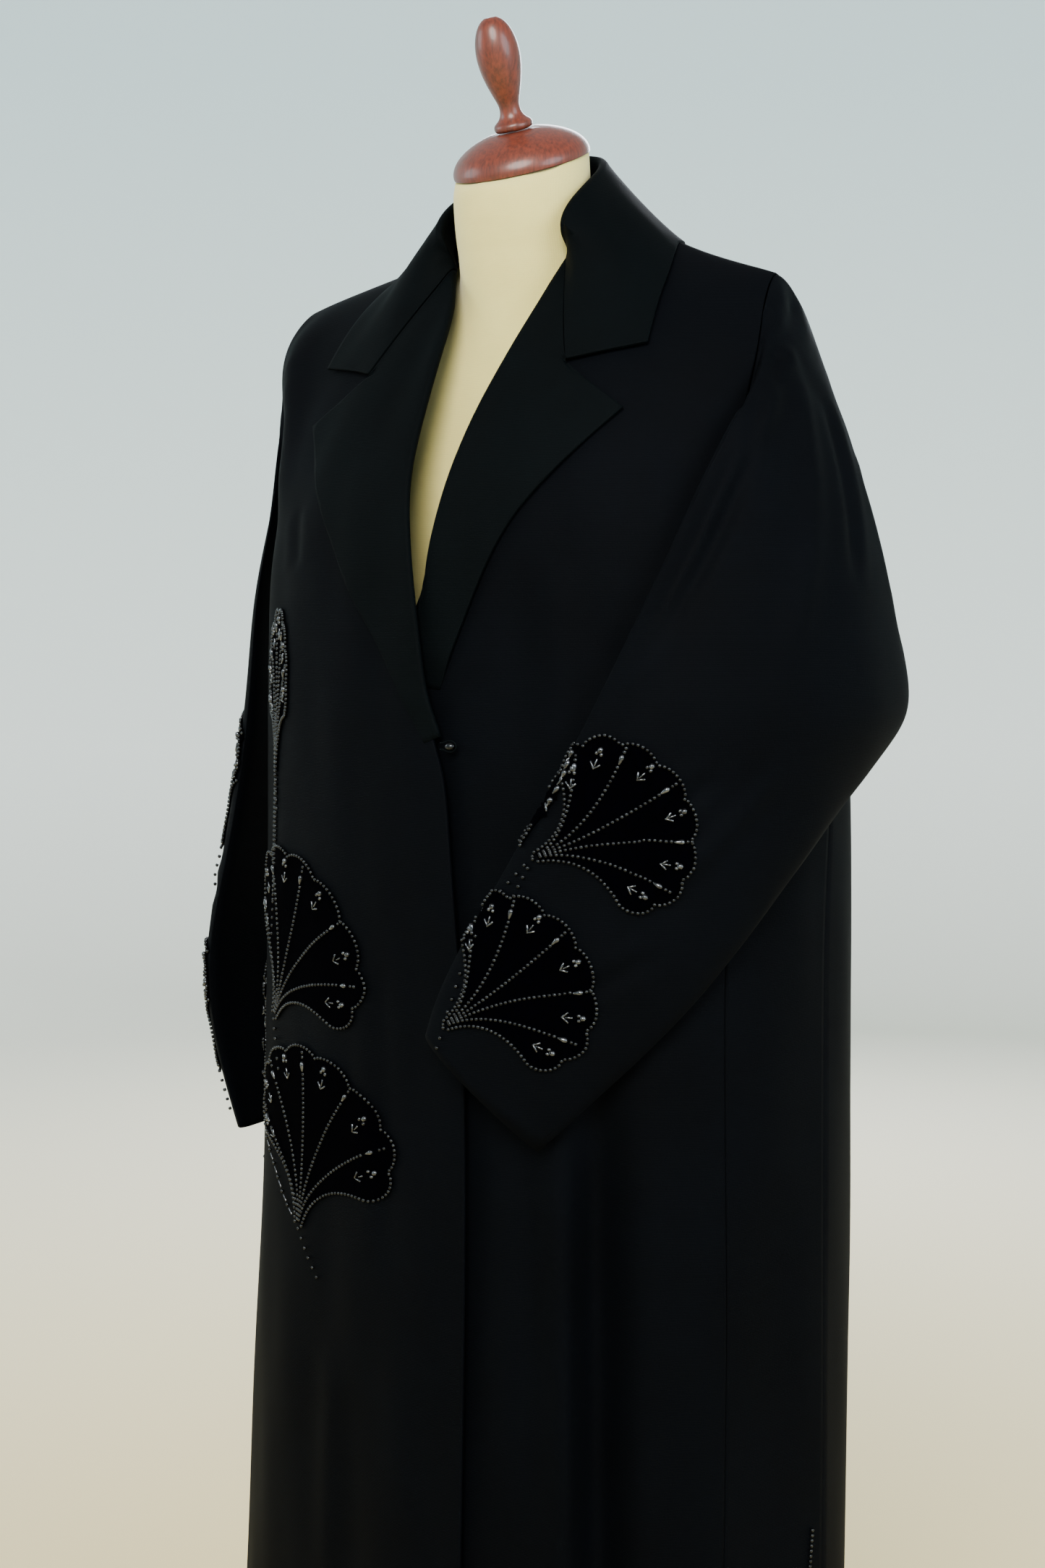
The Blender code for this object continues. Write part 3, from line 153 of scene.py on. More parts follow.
# Leaves: piece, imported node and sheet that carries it, without their common words, the foot's angle and
# height, the way it faces and its tilt, its lean, length, width against the plain leaf's (below zero where
# it is mirrored)
LEAVES = (
    ("front_top", "right_front_top", "right_front", -52.0, 1.022, -52.0, 0.0, 2.0, 0.140, 0.30),
    ("front_middle", "right_front_middle", "right_front", -51.5, 0.811, -38.0, 0.0, 30.0, 0.151, 1.20),
    ("front_low", "right_front_low", "right_front", -39.0, 0.640, -33.0, 0.0, 9.0, 0.154, 1.24),
    ("right_side", "right_side", "right_side", -75.0, 0.700, -75.0, 0.0, 0.0, 0.150, 1.0),
    ("sleeve_upper", "left_sleeve_upper", "left_sleeve", 31.8, 0.972, 36.0, -3.9, 66.0, 0.124, 1.0),
    ("sleeve_lower", "left_sleeve_lower", "left_sleeve", 13.4, 0.838, 16.0, 1.7, 58.0, 0.131, 1.0),
    ("sleeve_inner", "left_sleeve_inner", "left_sleeve", 28.6, 0.980, -90.7, 28.7, -3.6, 0.090, 1.0),
    ("cuff_upper", "right_sleeve_upper", "right_sleeve", -73.3, 0.947, -76.8, 8.5, -36.1, 0.132, -1.0),
    ("cuff_lower", "right_sleeve_lower", "right_sleeve", -71.3, 0.744, -82.4, -10.4, -38.1, 0.134, -1.0),
)
BOWED_LEAVES = ("front_low", "right_side")
LEAF_LOBES = 8
LEAF_DRAWN = 0.155
LEAF_CENTRE = 0.065
LEAF_WIDENED = 1.12
# The fan's rim: turn from the tip in degrees, distance from the fan's centre
LEAF_END = 101.0
LEAF_RIM = ((0.0, 0.0895), (60.0, 0.084), (80.0, 0.077), (LEAF_END, 0.067))
# Veins: turn of the far end in degrees, share of the rim that it reaches
LEAF_VEINS = ((-84.0, 0.84), (-47.0, 0.88), (-10.0, 0.90), (26.0, 0.90), (62.0, 0.86))
# Sprigs between the veins: turn in degrees, share of the rim
LEAF_SPRIGS = ((-92.0, 0.74), (-65.0, 0.80), (-28.0, 0.83), (8.0, 0.84), (44.0, 0.82), (80.0, 0.78))

# The velvet pad: heights over the cloth of its underside, its edge, its rounded rim and its face, and the
# shares of the way from its middle to its rim where its face has rows of points
VELVET_UNDER = 0.0003
VELVET_EDGE = 0.0006
VELVET_RIM = 0.0014
VELVET_FACE = 0.0018
VELVET_RIM_SHARE = 0.985
VELVET_SHARES = (0.94, 0.86, 0.75, 0.62, 0.48, 0.33, 0.17)

# Beads: a seed's rings as turns from its middle in degrees, the radii of a bugle's end and middle, and the
# profiles of a teardrop and a crystal as height and radius
SEED_RINGS = (-72, -36, 0, 36, 72)
BUGLE_END = 0.0007
BUGLE_MIDDLE = 0.00105
DROP_PROFILE = (
    (-0.0050, 0.0004),
    (-0.0040, 0.0011),
    (-0.0015, 0.0018),
    (0.0012, 0.0025),
    (0.0032, 0.0024),
    (0.0046, 0.0014),
    (0.0050, 0.0004),
)
CRYSTAL_PROFILE = ((-0.0023, 0.0006), (-0.0012, 0.0021), (0.0012, 0.0021), (0.0023, 0.0006))
# Heights of the beadwork over the cloth
STRAND_LIFT = 0.0013
BOW_LIFT = 0.0016
RIM_LIFT = 0.0020
VEIN_LIFT = 0.0022
STEM_LIFT = 0.0026
ARM_LIFT = 0.0028
STONE_LIFT = 0.0030
# A sprig's crystals: place along and across its stem, size
SPRIG_STONES = ((0.0040, 0.0, 1.10), (0.0005, 0.0022, 0.70), (0.0005, -0.0022, 0.70))
# The tail of beads below the foot, and the bow that joins a low leaf to the strand, as places of its plane
TAIL = ((0.001, -0.004), (0.009, -0.014), (0.018, -0.025), (0.027, -0.035))
BOW = ((-0.046, 0.032), (-0.027, 0.014), (-0.008, 0.001))

# Beaded strands: sheet, spacing of the beads, and places as angle and height
STRANDS = (
    ("right_front_cloth", 0.0040, ((-52.0, 1.022), (-52.1, 0.992), (-52.3, 0.957), (-52.6, 0.922))),
    ("right_front_cloth", 0.0040, ((-52.7, 1.018), (-52.9, 0.982), (-53.2, 0.947), (-53.4, 0.910))),
    ("right_front_cloth", 0.0075, ((-53.0, 0.922), (-53.6, 0.900), (-54.0, 0.880))),
    ("left_sleeve_cloth", 0.0100, ((19.3, 0.908), (16.6, 0.884), (14.6, 0.860), (12.6, 0.838))),
    ("left_sleeve_cloth", 0.0100, ((31.0, 0.972), (27.6, 0.957), (24.6, 0.944))),
    ("left_side_cloth", 0.0042, ((84.0, 0.420), (83.6, 0.400), (83.0, 0.375), (82.0, 0.350), (80.5, 0.330))),
)

# Studio: radius of the sweep from floor to wall, height of the wall, strength of the light all round
SWEEP_RADIUS = 1.4
WALL_HEIGHT = 5.2
SURROUND = 0.85

# Ray lengths that find the cloth: from outside the garment, and over a leaf's plane
OUTSIDE = 0.6
NEAR_CLOTH = 0.28
LEAF_REACH = 0.07


# Colours and numbers


def linear(code):
    """The linear colour of an sRGB hex code."""
    parts = [int(code[place:place + 2], 16) / 255 for place in (0, 2, 4)]
    return tuple(part / 12.92 if part <= 0.04045 else ((part + 0.055) / 1.055) ** 2.4 for part in parts)


def smooth_step(value, low, high):
    part = np.clip((value - low) / (high - low), 0, 1)
    return part * part * (3 - 2 * part)


def unit(vectors):
    return vectors / np.maximum(np.linalg.norm(vectors, axis=-1, keepdims=True), 1e-12)


def spaced(points, step):
    """Points this far apart along a line of points."""
    points = np.asarray(points, float)
    along = np.concatenate([[0.0], np.cumsum(np.linalg.norm(np.diff(points, axis=0), axis=1))])
    count = max(2, int(round(along[-1] / step)) + 1)
    at = np.linspace(0, along[-1], count)
    return np.stack([np.interp(at, along, points[:, axis]) for axis in range(points.shape[1])], axis=1)


def rounded(points, count):
    """A smooth line through a few points, with this many steps between two of them."""
    points = np.asarray(points, float)
    first, last = 2 * points[:1] - points[1:2], 2 * points[-1:] - points[-2:-1]
    padded = np.concatenate([first, points, last])
    made = []
    for index in range(1, len(padded) - 2):
        before, start, end, after = padded[index - 1:index + 3]
        for part in np.linspace(0, 1, count, endpoint=False):
            made.append(
                0.5
                * (
                    2 * start
                    + (end - before) * part
                    + (2 * before - 5 * start + 4 * end - after) * part**2
                    + (3 * start - before - 3 * end + after) * part**3
                )
            )
    made.append(points[-1])
    return np.array(made)


# Settings


def colour_setting(name, description, code):
    """A colour that a user may change, given as its sRGB hex code."""
    return bpy.props.FloatVectorProperty(
        name=name, description=description, subtype="COLOR", size=3, default=linear(code)
    )


def length_setting(name, description, default, low, high):
    """A length that a user may change, in metres."""
    return bpy.props.FloatProperty(
        name=name, description=description, unit="LENGTH", default=default, min=low, max=high
    )


class AbayaClothSettings(bpy.types.PropertyGroup):
    """What the crepe and the velvet look like."""

    crepe_colour: colour_setting("Crepe", "Colour of the crepe's yarn", "010204")
    # Same crepe a shade lighter: painted light on the collar and lapels, which are the same cloth as the
    # body.
    lit_lapel_colour: colour_setting("Lapels", "Colour of the lapels' crepe", "010304")
    velvet_colour: colour_setting("Velvet", "Colour of the leaves' velvet", "000001")
    grain: length_setting("Grain", "Width of the crepe's pebbles", 0.0013, 0.0002, 0.01)
    crease_depth: bpy.props.FloatProperty(
        name="Crease depth",
        description="How deep the creases are, as a share",
        subtype="FACTOR",
        default=1.0,
        min=0.0,
        max=2.0,
    )


class AbayaBeadSettings(bpy.types.PropertyGroup):
    """Sizes and colour of the beads."""

    width: length_setting("Bead width", "Width of a seed bead", 0.0032, 0.001, 0.006)
    step: length_setting("Bead spacing", "Distance between seed beads", 0.0038, 0.002, 0.02)
    bugle_length: length_setting("Bugle length", "Length of a bugle bead", 0.0085, 0.003, 0.02)
    colour: colour_setting("Bead colour", "Colour of the seed beads", "1b1d1f")
    cut_colour: colour_setting("Cut glass", "Colour of bugles and crystals", "3e4043")


class AbayaFormSettings(bpy.types.PropertyGroup):
    """Colours of the dress form."""

    jersey_colour: colour_setting("Cover", "Colour of the form's jersey cover", "c2b76e")
    wood_dark: colour_setting("Wood, dark grain", "Dark grain of the mahogany", "3c170c")
    wood_light: colour_setting("Wood, light grain", "Light grain of the mahogany", "602614")


class AbayaStageSettings(bpy.types.PropertyGroup):
    """The studio."""

    wall_colour: colour_setting("Backdrop", "Colour of the backdrop", "f6faf8")
    # Darker and bluer than the wall: painted shade where the light falls off high up the backdrop.
    high_wall_shade_colour: colour_setting("Backdrop, high up", "Colour high up the backdrop", "d6ecf2")
    floor_colour: colour_setting("Floor", "Colour of the floor", "cdbc8b")
    reach: length_setting("Studio radius", "Distance of the backdrop", 5.6, 4.5, 12.0)
    key_power: bpy.props.FloatProperty(
        name="Key light", description="Power of the key light", unit="POWER", default=230.0, min=0.0
    )
    fill_power: bpy.props.FloatProperty(
        name="Fill light", description="Power of the fill light", unit="POWER", default=110.0, min=0.0
    )


# Materials


def add(tree, kind, values=None, links=None, **settings):
    """Adds a node to a material with its settings, its sockets' values and what feeds its sockets."""
    made = tree.nodes.new(kind)
    for name, value in settings.items():
        setattr(made, name, value)
    for name, value in (values or {}).items():
        made.inputs[name].default_value = value
    for name, source in (links or {}).items():
        tree.links.new(source, made.inputs[name])
    return made


def begin(name, **values):
    """A material with its shader's own sockets set, and the place in the piece as its coordinates."""
    made = bpy.data.materials.new(name)
    made.use_nodes = True
    tree = made.node_tree
    tree.nodes.clear()
    sockets = {key.replace("_", " "): value for key, value in values.items()}
    shader = add(tree, "ShaderNodeBsdfPrincipled", sockets)
    add(tree, "ShaderNodeOutputMaterial", None, {"Surface": shader.outputs["BSDF"]})
    place = add(tree, "ShaderNodeTexCoord").outputs["Object"]
    return made, tree, shader, place


def shaded(tree, factor, stops):
    """Colours along a factor, from a table of place and colour."""
    ramp = add(tree, "ShaderNodeValToRGB", None, {"Fac": factor})
    while len(ramp.color_ramp.elements) < len(stops):
        ramp.color_ramp.elements.new(0.5)
    for stop, (place, colour) in zip(ramp.color_ramp.elements, stops):
        stop.position = place
        stop.color = (*colour, 1.0)
    return ramp.outputs["Color"]


def noise_scale(size):
    """The scale of a noise pattern whose patches are this wide, in metres."""
    return 1 / size


def wave_scale(size):
    """The scale of a band pattern that repeats at this distance, in metres."""
    return math.pi / 10 / size


def lighter(colour, times):
    return tuple(min(1.0, part * times) for part in colour)


def crepe(name, colour, grain, rough, sheen):
    """Polyester crepe, woven of twisted yarn: matt, finely pebbled, with a faint bluish bloom on slopes."""
    made, tree, shader, place = begin(
        name,
        Roughness=rough,
        Specular_IOR_Level=0.030,
        Sheen_Weight=sheen,
        Sheen_Roughness=0.42,
        Sheen_Tint=(*linear("b9cdd6"), 1.0),
    )
    # Where the cloth has been pressed, its tone changes from hand's width to hand's width.
    broad_values = {"Scale": noise_scale(0.11), "Detail": 3.0, "Roughness": 0.6}
    broad = add(tree, "ShaderNodeTexNoise", broad_values, {"Vector": place})
    colours = ((0.30, lighter(colour, 0.80)), (0.70, lighter(colour, 1.22)))
    tree.links.new(shaded(tree, broad.outputs["Fac"], colours), shader.inputs["Base Color"])
    # The real pebbles are 0.3 mm wide; they are drawn wider here so that they show.
    pebble_values = {"Scale": noise_scale(grain), "Detail": 2.0, "Roughness": 0.7}
    pebbles = add(tree, "ShaderNodeTexNoise", pebble_values, {"Vector": place})
    thread_values = {"Scale": wave_scale(grain), "Distortion": 3.0, "Detail": 1.0}
    threads = add(tree, "ShaderNodeTexWave", thread_values, {"Vector": place}, bands_direction="Z")
    heights = {0: threads.outputs["Fac"], 2: pebbles.outputs["Fac"]}
    both = add(tree, "ShaderNodeMath", {1: 0.35}, heights, operation="MULTIPLY_ADD")
    bump = add(tree, "ShaderNodeBump", {"Strength": 0.30, "Distance": 0.0004}, {"Height": both.outputs[0]})
    tree.links.new(bump.outputs["Normal"], shader.inputs["Normal"])
    return made


def velvet(name, colour):
    """Cotton velvet with a short upright pile: almost black face on, with a faint light rim."""
    made, tree, shader, place = begin(
        name,
        Roughness=0.95,
        Specular_IOR_Level=0.01,
        Sheen_Weight=0.001,
        Sheen_Roughness=0.30,
        Sheen_Tint=(*linear("8a8fa0"), 1.0),
    )
    # The pile's tufts are 0.5 mm apart; the patches in which it lies one way are drawn, about 6 mm wide.
    pile_values = {"Scale": noise_scale(0.00625), "Detail": 4.0, "Roughness": 0.7}
    pile = add(tree, "ShaderNodeTexNoise", pile_values, {"Vector": place})
    colours = ((0.35, lighter(colour, 0.6)), (0.70, lighter(colour, 1.7)))
    tree.links.new(shaded(tree, pile.outputs["Fac"], colours), shader.inputs["Base Color"])
    heights = {"Height": pile.outputs["Fac"]}
    bump = add(tree, "ShaderNodeBump", {"Strength": 0.45, "Distance": 0.0005}, heights)
    tree.links.new(bump.outputs["Normal"], shader.inputs["Normal"])
    return made


def glass(name, colour, rough):
    """Glass beads with a metal lining, fire polished: each one is dark with a small bright light on it."""
    made, tree, shader, place = begin(
        name, Roughness=rough, Metallic=0.9, Coat_Weight=0.12, Coat_Roughness=0.05
    )
    # The tone changes from bead to bead, so its patches are about a bead wide.
    tone = add(tree, "ShaderNodeTexNoise", {"Scale": noise_scale(0.004), "Detail": 1.0}, {"Vector": place})
    colours = ((0.30, lighter(colour, 0.45)), (0.72, lighter(colour, 2.0)))
    tree.links.new(shaded(tree, tone.outputs["Fac"], colours), shader.inputs["Base Color"])
    return made


def jersey(name, colour):
    """Cotton jersey stretched over padding: fine upright ribs, 1.2 mm apart, in a soft warm white."""
    made, tree, shader, place = begin(
        name,
        Roughness=0.88,
        Specular_IOR_Level=0.25,
        Sheen_Weight=0.20,
        Sheen_Roughness=0.6,
        Subsurface_Weight=0.05,
        Subsurface_Scale=0.004,
    )
    broad_values = {"Scale": noise_scale(0.0625), "Detail": 4.0, "Roughness": 0.6}
    broad = add(tree, "ShaderNodeTexNoise", broad_values, {"Vector": place})
    colours = ((0.25, lighter(colour, 0.90)), (0.75, lighter(colour, 1.04)))
    tree.links.new(shaded(tree, broad.outputs["Fac"], colours), shader.inputs["Base Color"])
    rib_values = {"Scale": wave_scale(0.0012), "Distortion": 0.6, "Detail": 1.0}
    ribs = add(tree, "ShaderNodeTexWave", rib_values, {"Vector": place}, bands_direction="X")
    row_values = {"Scale": wave_scale(0.0015), "Distortion": 0.8, "Detail": 1.0}
    rows = add(tree, "ShaderNodeTexWave", row_values, {"Vector": place}, bands_direction="Z")
    stitches = {0: ribs.outputs["Fac"], 1: rows.outputs["Fac"]}
    knit = add(tree, "ShaderNodeMath", None, stitches, operation="MULTIPLY")
    bump = add(tree, "ShaderNodeBump", {"Strength": 0.35, "Distance": 0.0003}, {"Height": knit.outputs[0]})
    tree.links.new(bump.outputs["Normal"], shader.inputs["Normal"])
    return made


def mahogany(name, dark, light):
    """Mahogany, turned, stained and lacquered: fine straight grain under a clear satin gloss."""
    made, tree, shader, place = begin(
        name, Roughness=0.42, Specular_IOR_Level=0.35, Coat_Weight=0.22, Coat_Roughness=0.16
    )
    stretched = add(tree, "ShaderNodeMapping", {"Scale": (1.0, 1.0, 0.10)}, {"Vector": place})
    # The pores are 0.3 mm wide; the grain is drawn 2.4 mm wide so that it shows.
    grain_values = {"Scale": noise_scale(0.0024), "Detail": 4.0, "Roughness": 0.6}
    grain = add(tree, "ShaderNodeTexNoise", grain_values, {"Vector": stretched.outputs[0]})
    stain = shaded(tree, grain.outputs["Fac"], ((0.32, dark), (0.70, light)))
    tree.links.new(stain, shader.inputs["Base Color"])
    heights = {"Height": grain.outputs["Fac"]}
    bump = add(tree, "ShaderNodeBump", {"Strength": 0.12, "Distance": 0.0002}, heights)
    tree.links.new(bump.outputs["Normal"], shader.inputs["Normal"])
    return made


def brushed_steel(name):
    """Steel tube, drawn and brushed along its length."""
    made, tree, shader, place = begin(name, Metallic=1.0)
    stretched = add(tree, "ShaderNodeMapping", {"Scale": (1.0, 1.0, 0.01)}, {"Vector": place})
    line_values = {"Scale": noise_scale(0.0007), "Detail": 2.0}
    lines = add(tree, "ShaderNodeTexNoise", line_values, {"Vector": stretched.outputs[0]})
    steel = linear("9a9c9e")
    tones = ((0.3, lighter(steel, 0.85)), (0.7, steel))
    tree.links.new(shaded(tree, lines.outputs["Fac"], tones), shader.inputs["Base Color"])
    polish = {"To Min": 0.24, "To Max": 0.42}
    rough = add(tree, "ShaderNodeMapRange", polish, {"Value": lines.outputs["Fac"]})
    tree.links.new(rough.outputs["Result"], shader.inputs["Roughness"])
    return made


def graded_paint(name, stops, reach):
    """Matt emulsion on a paper sweep: warm at the middle of the floor, and cooler out and up the wall, where
    its darker, bluer top is painted shade.
    """
    made, tree, shader, place = begin(name, Roughness=0.95, Specular_IOR_Level=0.05)
    level = add(tree, "ShaderNodeMapping", {"Scale": (1.0, 1.0, 0.0)}, {"Vector": place})
    outwards = add(tree, "ShaderNodeVectorMath", None, {0: level.outputs[0]}, operation="LENGTH")
    height = add(tree, "ShaderNodeSeparateXYZ", None, {"Vector": place})
    parts = {0: outwards.outputs["Value"], 1: height.outputs["Z"]}
    way = add(tree, "ShaderNodeMath", None, parts, operation="ADD")
    share = add(tree, "ShaderNodeMapRange", {"From Max": reach}, {"Value": way.outputs[0]})
    tree.links.new(shaded(tree, share.outputs["Result"], stops), shader.inputs["Base Color"])
    return made


MADE = {}


def material_for(finish):
    """The material of a finish, made the first time that it is asked for."""
    if finish not in MADE:
        scene = bpy.context.scene
        cloth, beads, form = scene.abaya_cloth, scene.abaya_beads, scene.abaya_form
        makers = {
            "woven_crepe": lambda: crepe(finish, cloth.crepe_colour, cloth.grain, 0.74, 0.003),
            # The body's crepe made a shade lighter: painted light on the collar and lapels.
            "lit_lapel_crepe": lambda: crepe(finish, cloth.lit_lapel_colour, cloth.grain, 0.72, 0.003),
            "cotton_velvet": lambda: velvet(finish, cloth.velvet_colour),
            "gunmetal_glass": lambda: glass(finish, beads.colour, 0.22),
            "cut_glass": lambda: glass(finish, beads.cut_colour, 0.10),
            "ribbed_jersey": lambda: jersey(finish, form.jersey_colour),
            "turned_mahogany": lambda: mahogany(finish, form.wood_dark, form.wood_light),
            "brushed_steel": lambda: brushed_steel(finish),
            # The loop borrows the lapels' lighter colour, painted light included.
            "twisted_thread": lambda: crepe(finish, cloth.lit_lapel_colour, cloth.grain / 2, 0.80, 0.02),
        }
        MADE[finish] = makers[finish]()
    return MADE[finish]


# Meshes

SURFACES = {}


def placed(name, mesh, finish):
    """A piece with this mesh and finish, riding on the model's body."""
    made = bpy.data.objects.new(name, mesh)
    bpy.context.scene.collection.objects.link(made)
    mesh.materials.clear()
    mesh.materials.append(material_for(finish))
    mesh.shade_smooth()
    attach(made, "root")
    return made


def refined(node, rounds, keep=70.0):
    """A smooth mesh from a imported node's faces, with the rims of its wall kept."""
    work = bmesh.new()
    work.from_mesh(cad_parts[node].data)
    bmesh.ops.remove_doubles(work, verts=work.verts, dist=0.00002)
    bmesh.ops.join_triangles(
        work, faces=work.faces, angle_face_threshold=math.radians(60), angle_shape_threshold=math.radians(80)
    )
    crease = work.edges.layers.float.new("crease_edge")
    for edge in work.edges:
        if len(edge.link_faces) == 2 and edge.calc_face_angle(0.0) > math.radians(keep):
            edge[crease] = 1.0
    rough = bpy.data.meshes.new(f"{node}_rough")
    work.to_mesh(rough)
    work.free()
    holder = bpy.data.objects.new(f"{node}_rough", rough)
    bpy.context.scene.collection.objects.link(holder)
    smoothed = holder.modifiers.new("Smooth", "SUBSURF")
    smoothed.levels = rounds
    smoothed.render_levels = rounds
    graph = bpy.context.evaluated_depsgraph_get()
    mesh = bpy.data.meshes.new_from_object(holder.evaluated_get(graph))
    bpy.data.objects.remove(holder)
    bpy.data.meshes.remove(rough)
    layer = mesh.attributes.get("crease_edge")
    if layer:
        mesh.attributes.remove(layer)
    return mesh


def points_of(mesh):
    points = np.zeros(len(mesh.vertices) * 3)
    mesh.vertices.foreach_get("co", points)
    return points.reshape(-1, 3)


def set_points(mesh, points):
    mesh.vertices.foreach_set("co", points.astype(np.float32).ravel())
    mesh.update()


def tree_from(mesh):
    corners = [vertex.co.copy() for vertex in mesh.vertices]
    return BVHTree.FromPolygons(corners, [tuple(face.vertices) for face in mesh.polygons])


def found_from_outside(tree, angle, height):
    """Where a level line from outside towards the axis first meets a surface, and the normal there."""
    turn = math.radians(angle)
    outwards = Vector((math.sin(turn), -math.cos(turn), 0.0))
    level = Vector((0, 0, height))
    place, normal, _, _ = tree.ray_cast(outwards * OUTSIDE + level, -outwards, OUTSIDE)
    if place is None:
        place, normal, _, _ = tree.find_nearest(outwards * NEAR_CLOTH + level)
    if normal.dot(outwards) < 0:
        normal = -normal
    return np.array(place), np.array(normal)


def drape(points):
    """Slight unevenness of hanging cloth, the same for every sheet at a place, so that seams stay closed."""
    angle = np.arctan2(points[:, 0], -points[:, 1])
    height = points[:, 2]
    rise = 0.0
    for size, waves, turn, begins in DRAPE_WAVES:
        rise = rise + size * np.sin(waves * angle + turn * height + begins)
    size, waves, turn, begins, strength = DRAPE_RIPPLE
    rise = rise + size * np.sin(waves * angle + turn * height + begins) * np.sin(strength * angle)
    away = unit(points * (1, 1, 0))
    share = smooth_step(np.hypot(points[:, 0], points[:, 1]), 0.06, 0.14)
    return points + (rise * share)[:, None] * away


def evened(normals, reach):
    """Normals along a line, each replaced by the mean of its neighbours on both sides."""
    first, last = normals[:1].repeat(reach, axis=0), normals[-1:].repeat(reach, axis=0)
    sums = np.cumsum(np.concatenate([np.zeros((1, 3)), first, normals, last]), axis=0)
    window = 2 * reach + 1
    return unit(sums[window:] - sums[:-window])


def creased(points, tree, creases):
    """Presses each crease of a sheet into its points. Both faces of the cloth move alike."""
    depth_share = bpy.context.scene.abaya_cloth.crease_depth
    for width, depth, places in creases:
        line = rounded(places, CREASE_POINTS)
        found = [found_from_outside(tree, angle, height) for angle, height in line]
        middle = np.array([place for place, _ in found])
        normal = np.array([way for _, way in found])
        normal = evened(normal, CREASE_POINTS // 3)
        along = np.linspace(0, 1, len(middle))
        taper = smooth_step(along, -0.05, 0.22) * smooth_step(along, 1.0, 0.70)
        low, high = middle.min(axis=0) - 4 * width, middle.max(axis=0) + 4 * width
        near = np.nonzero(((points > low) & (points < high)).all(axis=1))[0]
        if not len(near):
            continue
        apart = np.linalg.norm(points[near, None, :] - middle[None, :, :], axis=2)
        nearest = apart.argmin(axis=1)
        gap = apart[np.arange(len(near)), nearest]
        trough = np.exp(-((gap / width) ** 2)) - 0.30 * np.exp(-(((gap - 2.0 * width) / width) ** 2))
        shift = depth * depth_share * trough * taper[nearest]
        points[near] -= shift[:, None] * normal[nearest]
    return points


def make_sheet(name, node, finish, rounds, width, length, area, rests_on):
    """One sheet of cloth from its packed wall: smoothed, draped and creased."""
    mesh = refined(node, rounds)
    points = points_of(mesh)
    tree = tree_from(mesh)
    points = creased(points, tree, CREASES.get(name, ()))
    if name in SUNK_ENDS:
        low, high, deep = SUNK_ENDS[name]
        points[:, 1] += deep * (1 - smooth_step(points[:, 2], low, high))
    set_points(mesh, drape(points))
    made = placed(name, mesh, finish)
    SURFACES[name] = tree_from(mesh)
    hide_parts(node)
    return made


def joined(name, parts, finish):
    """One piece of many small closed parts, each a list of points and faces."""
    points, faces = [], []
    for part_points, part_faces in parts:
        start = len(points)
        points.extend(part_points)
        faces.extend([tuple(start + index for index in face) for face in part_faces])
    mesh = bpy.data.meshes.new(name)
    mesh.from_pydata([tuple(map(float, point)) for point in points], [], faces)
    return placed(name, mesh, finish)


def turned(profile, sides):
    """A lathe solid round Z from a table of height and radius, closed by a point on the axis at each end."""
    points = [(0.0, 0.0, profile[0][0])]
    for height, radius in profile:
        for index in range(sides):
            turn = 2 * math.pi * index / sides
            points.append((radius * math.cos(turn), radius * math.sin(turn), height))
    points.append((0.0, 0.0, profile[-1][0]))
    faces = []
    last = len(points) - 1
    for index in range(sides):
        after = (index + 1) % sides
        faces.append((0, 1 + after, 1 + index))
        for row in range(len(profile) - 1):
            low, high = 1 + row * sides, 1 + (row + 1) * sides
            faces.append((low + index, low + after, high + after, high + index))
        top = 1 + (len(profile) - 1) * sides
        faces.append((top + index, top + after, last))
    return np.array(points), faces


def set_down(part, place, along, normal, size=1.0):
    """A small part moved to a place, its own Z turned along a way and its X turned towards the normal."""
    points, faces = part
    along = along / max(np.linalg.norm(along), 1e-12)
    side = normal - along * (normal @ along)
    side = side / max(np.linalg.norm(side), 1e-12)
    other = np.cross(along, side)
    turned_points = points[:, :1] * side + points[:, 1:2] * other + points[:, 2:3] * along
    return place + size * turned_points, faces


def bead_parts():
    """Seed bead, bugle, teardrop and crystal, each along Z at its real size."""
    beads = bpy.context.scene.abaya_beads
    half = beads.width / 2
    rings = np.radians(SEED_RINGS)
    rounding = [(half * 0.86 * math.sin(ring), half * (0.45 + 0.55 * math.cos(ring))) for ring in rings]
    seed = turned(rounding, 7)
    long = beads.bugle_length / 2
    bevel = long * 0.94
    bugle = turned([(-long, BUGLE_END), (-bevel, BUGLE_MIDDLE), (bevel, BUGLE_MIDDLE), (long, BUGLE_END)], 6)
    drop = turned(DROP_PROFILE, 7)
    crystal = turned(CRYSTAL_PROFILE, 6)
    return {"seed": seed, "bugle": bugle, "drop": drop, "crystal": crystal}


# Leaves


def rim_radius(turn):
    known = np.array(LEAF_RIM)
    return float(np.interp(abs(turn), known[:, 0], known[:, 1]))


def fan_point(turn, share):
    """A place of the fan, by its turn from the tip and its share of the way from the centre to the rim."""
    radius = rim_radius(turn) * share
    angle = math.radians(turn)
    return np.array([radius * math.sin(angle) * LEAF_WIDENED, LEAF_CENTRE + radius * math.cos(angle)])


def bent(start, bend, end, parts):
    """Points of a curve from one place to another, drawn towards a third."""
    return [(1 - part) ** 2 * start + 2 * part * (1 - part) * bend + part**2 * end for part in parts]


def leaf_rim():
    """The leaf's outline from the foot, up one side, over the lobes and down the other side."""
    arc = []
    count = LEAF_LOBES * 10
    for index in range(count + 1):
        turn = LEAF_END * (2 * index / count - 1)
        swell = abs(math.sin(math.pi * LEAF_LOBES * index / count)) ** 0.7
        arc.append(fan_point(turn, 0.93 + 0.07 * swell))
    sides = []
    for end, sign in ((arc[0], -1), (arc[-1], 1)):
        foot = np.array([sign * 0.0045, 0.0])
        bend = np.array([end[0] * 0.20, 0.049])
        sides.append(bent(foot, bend, end, np.linspace(0, 1, 14)[:-1]))
    return np.array(sides[0] + arc + sides[1][::-1])


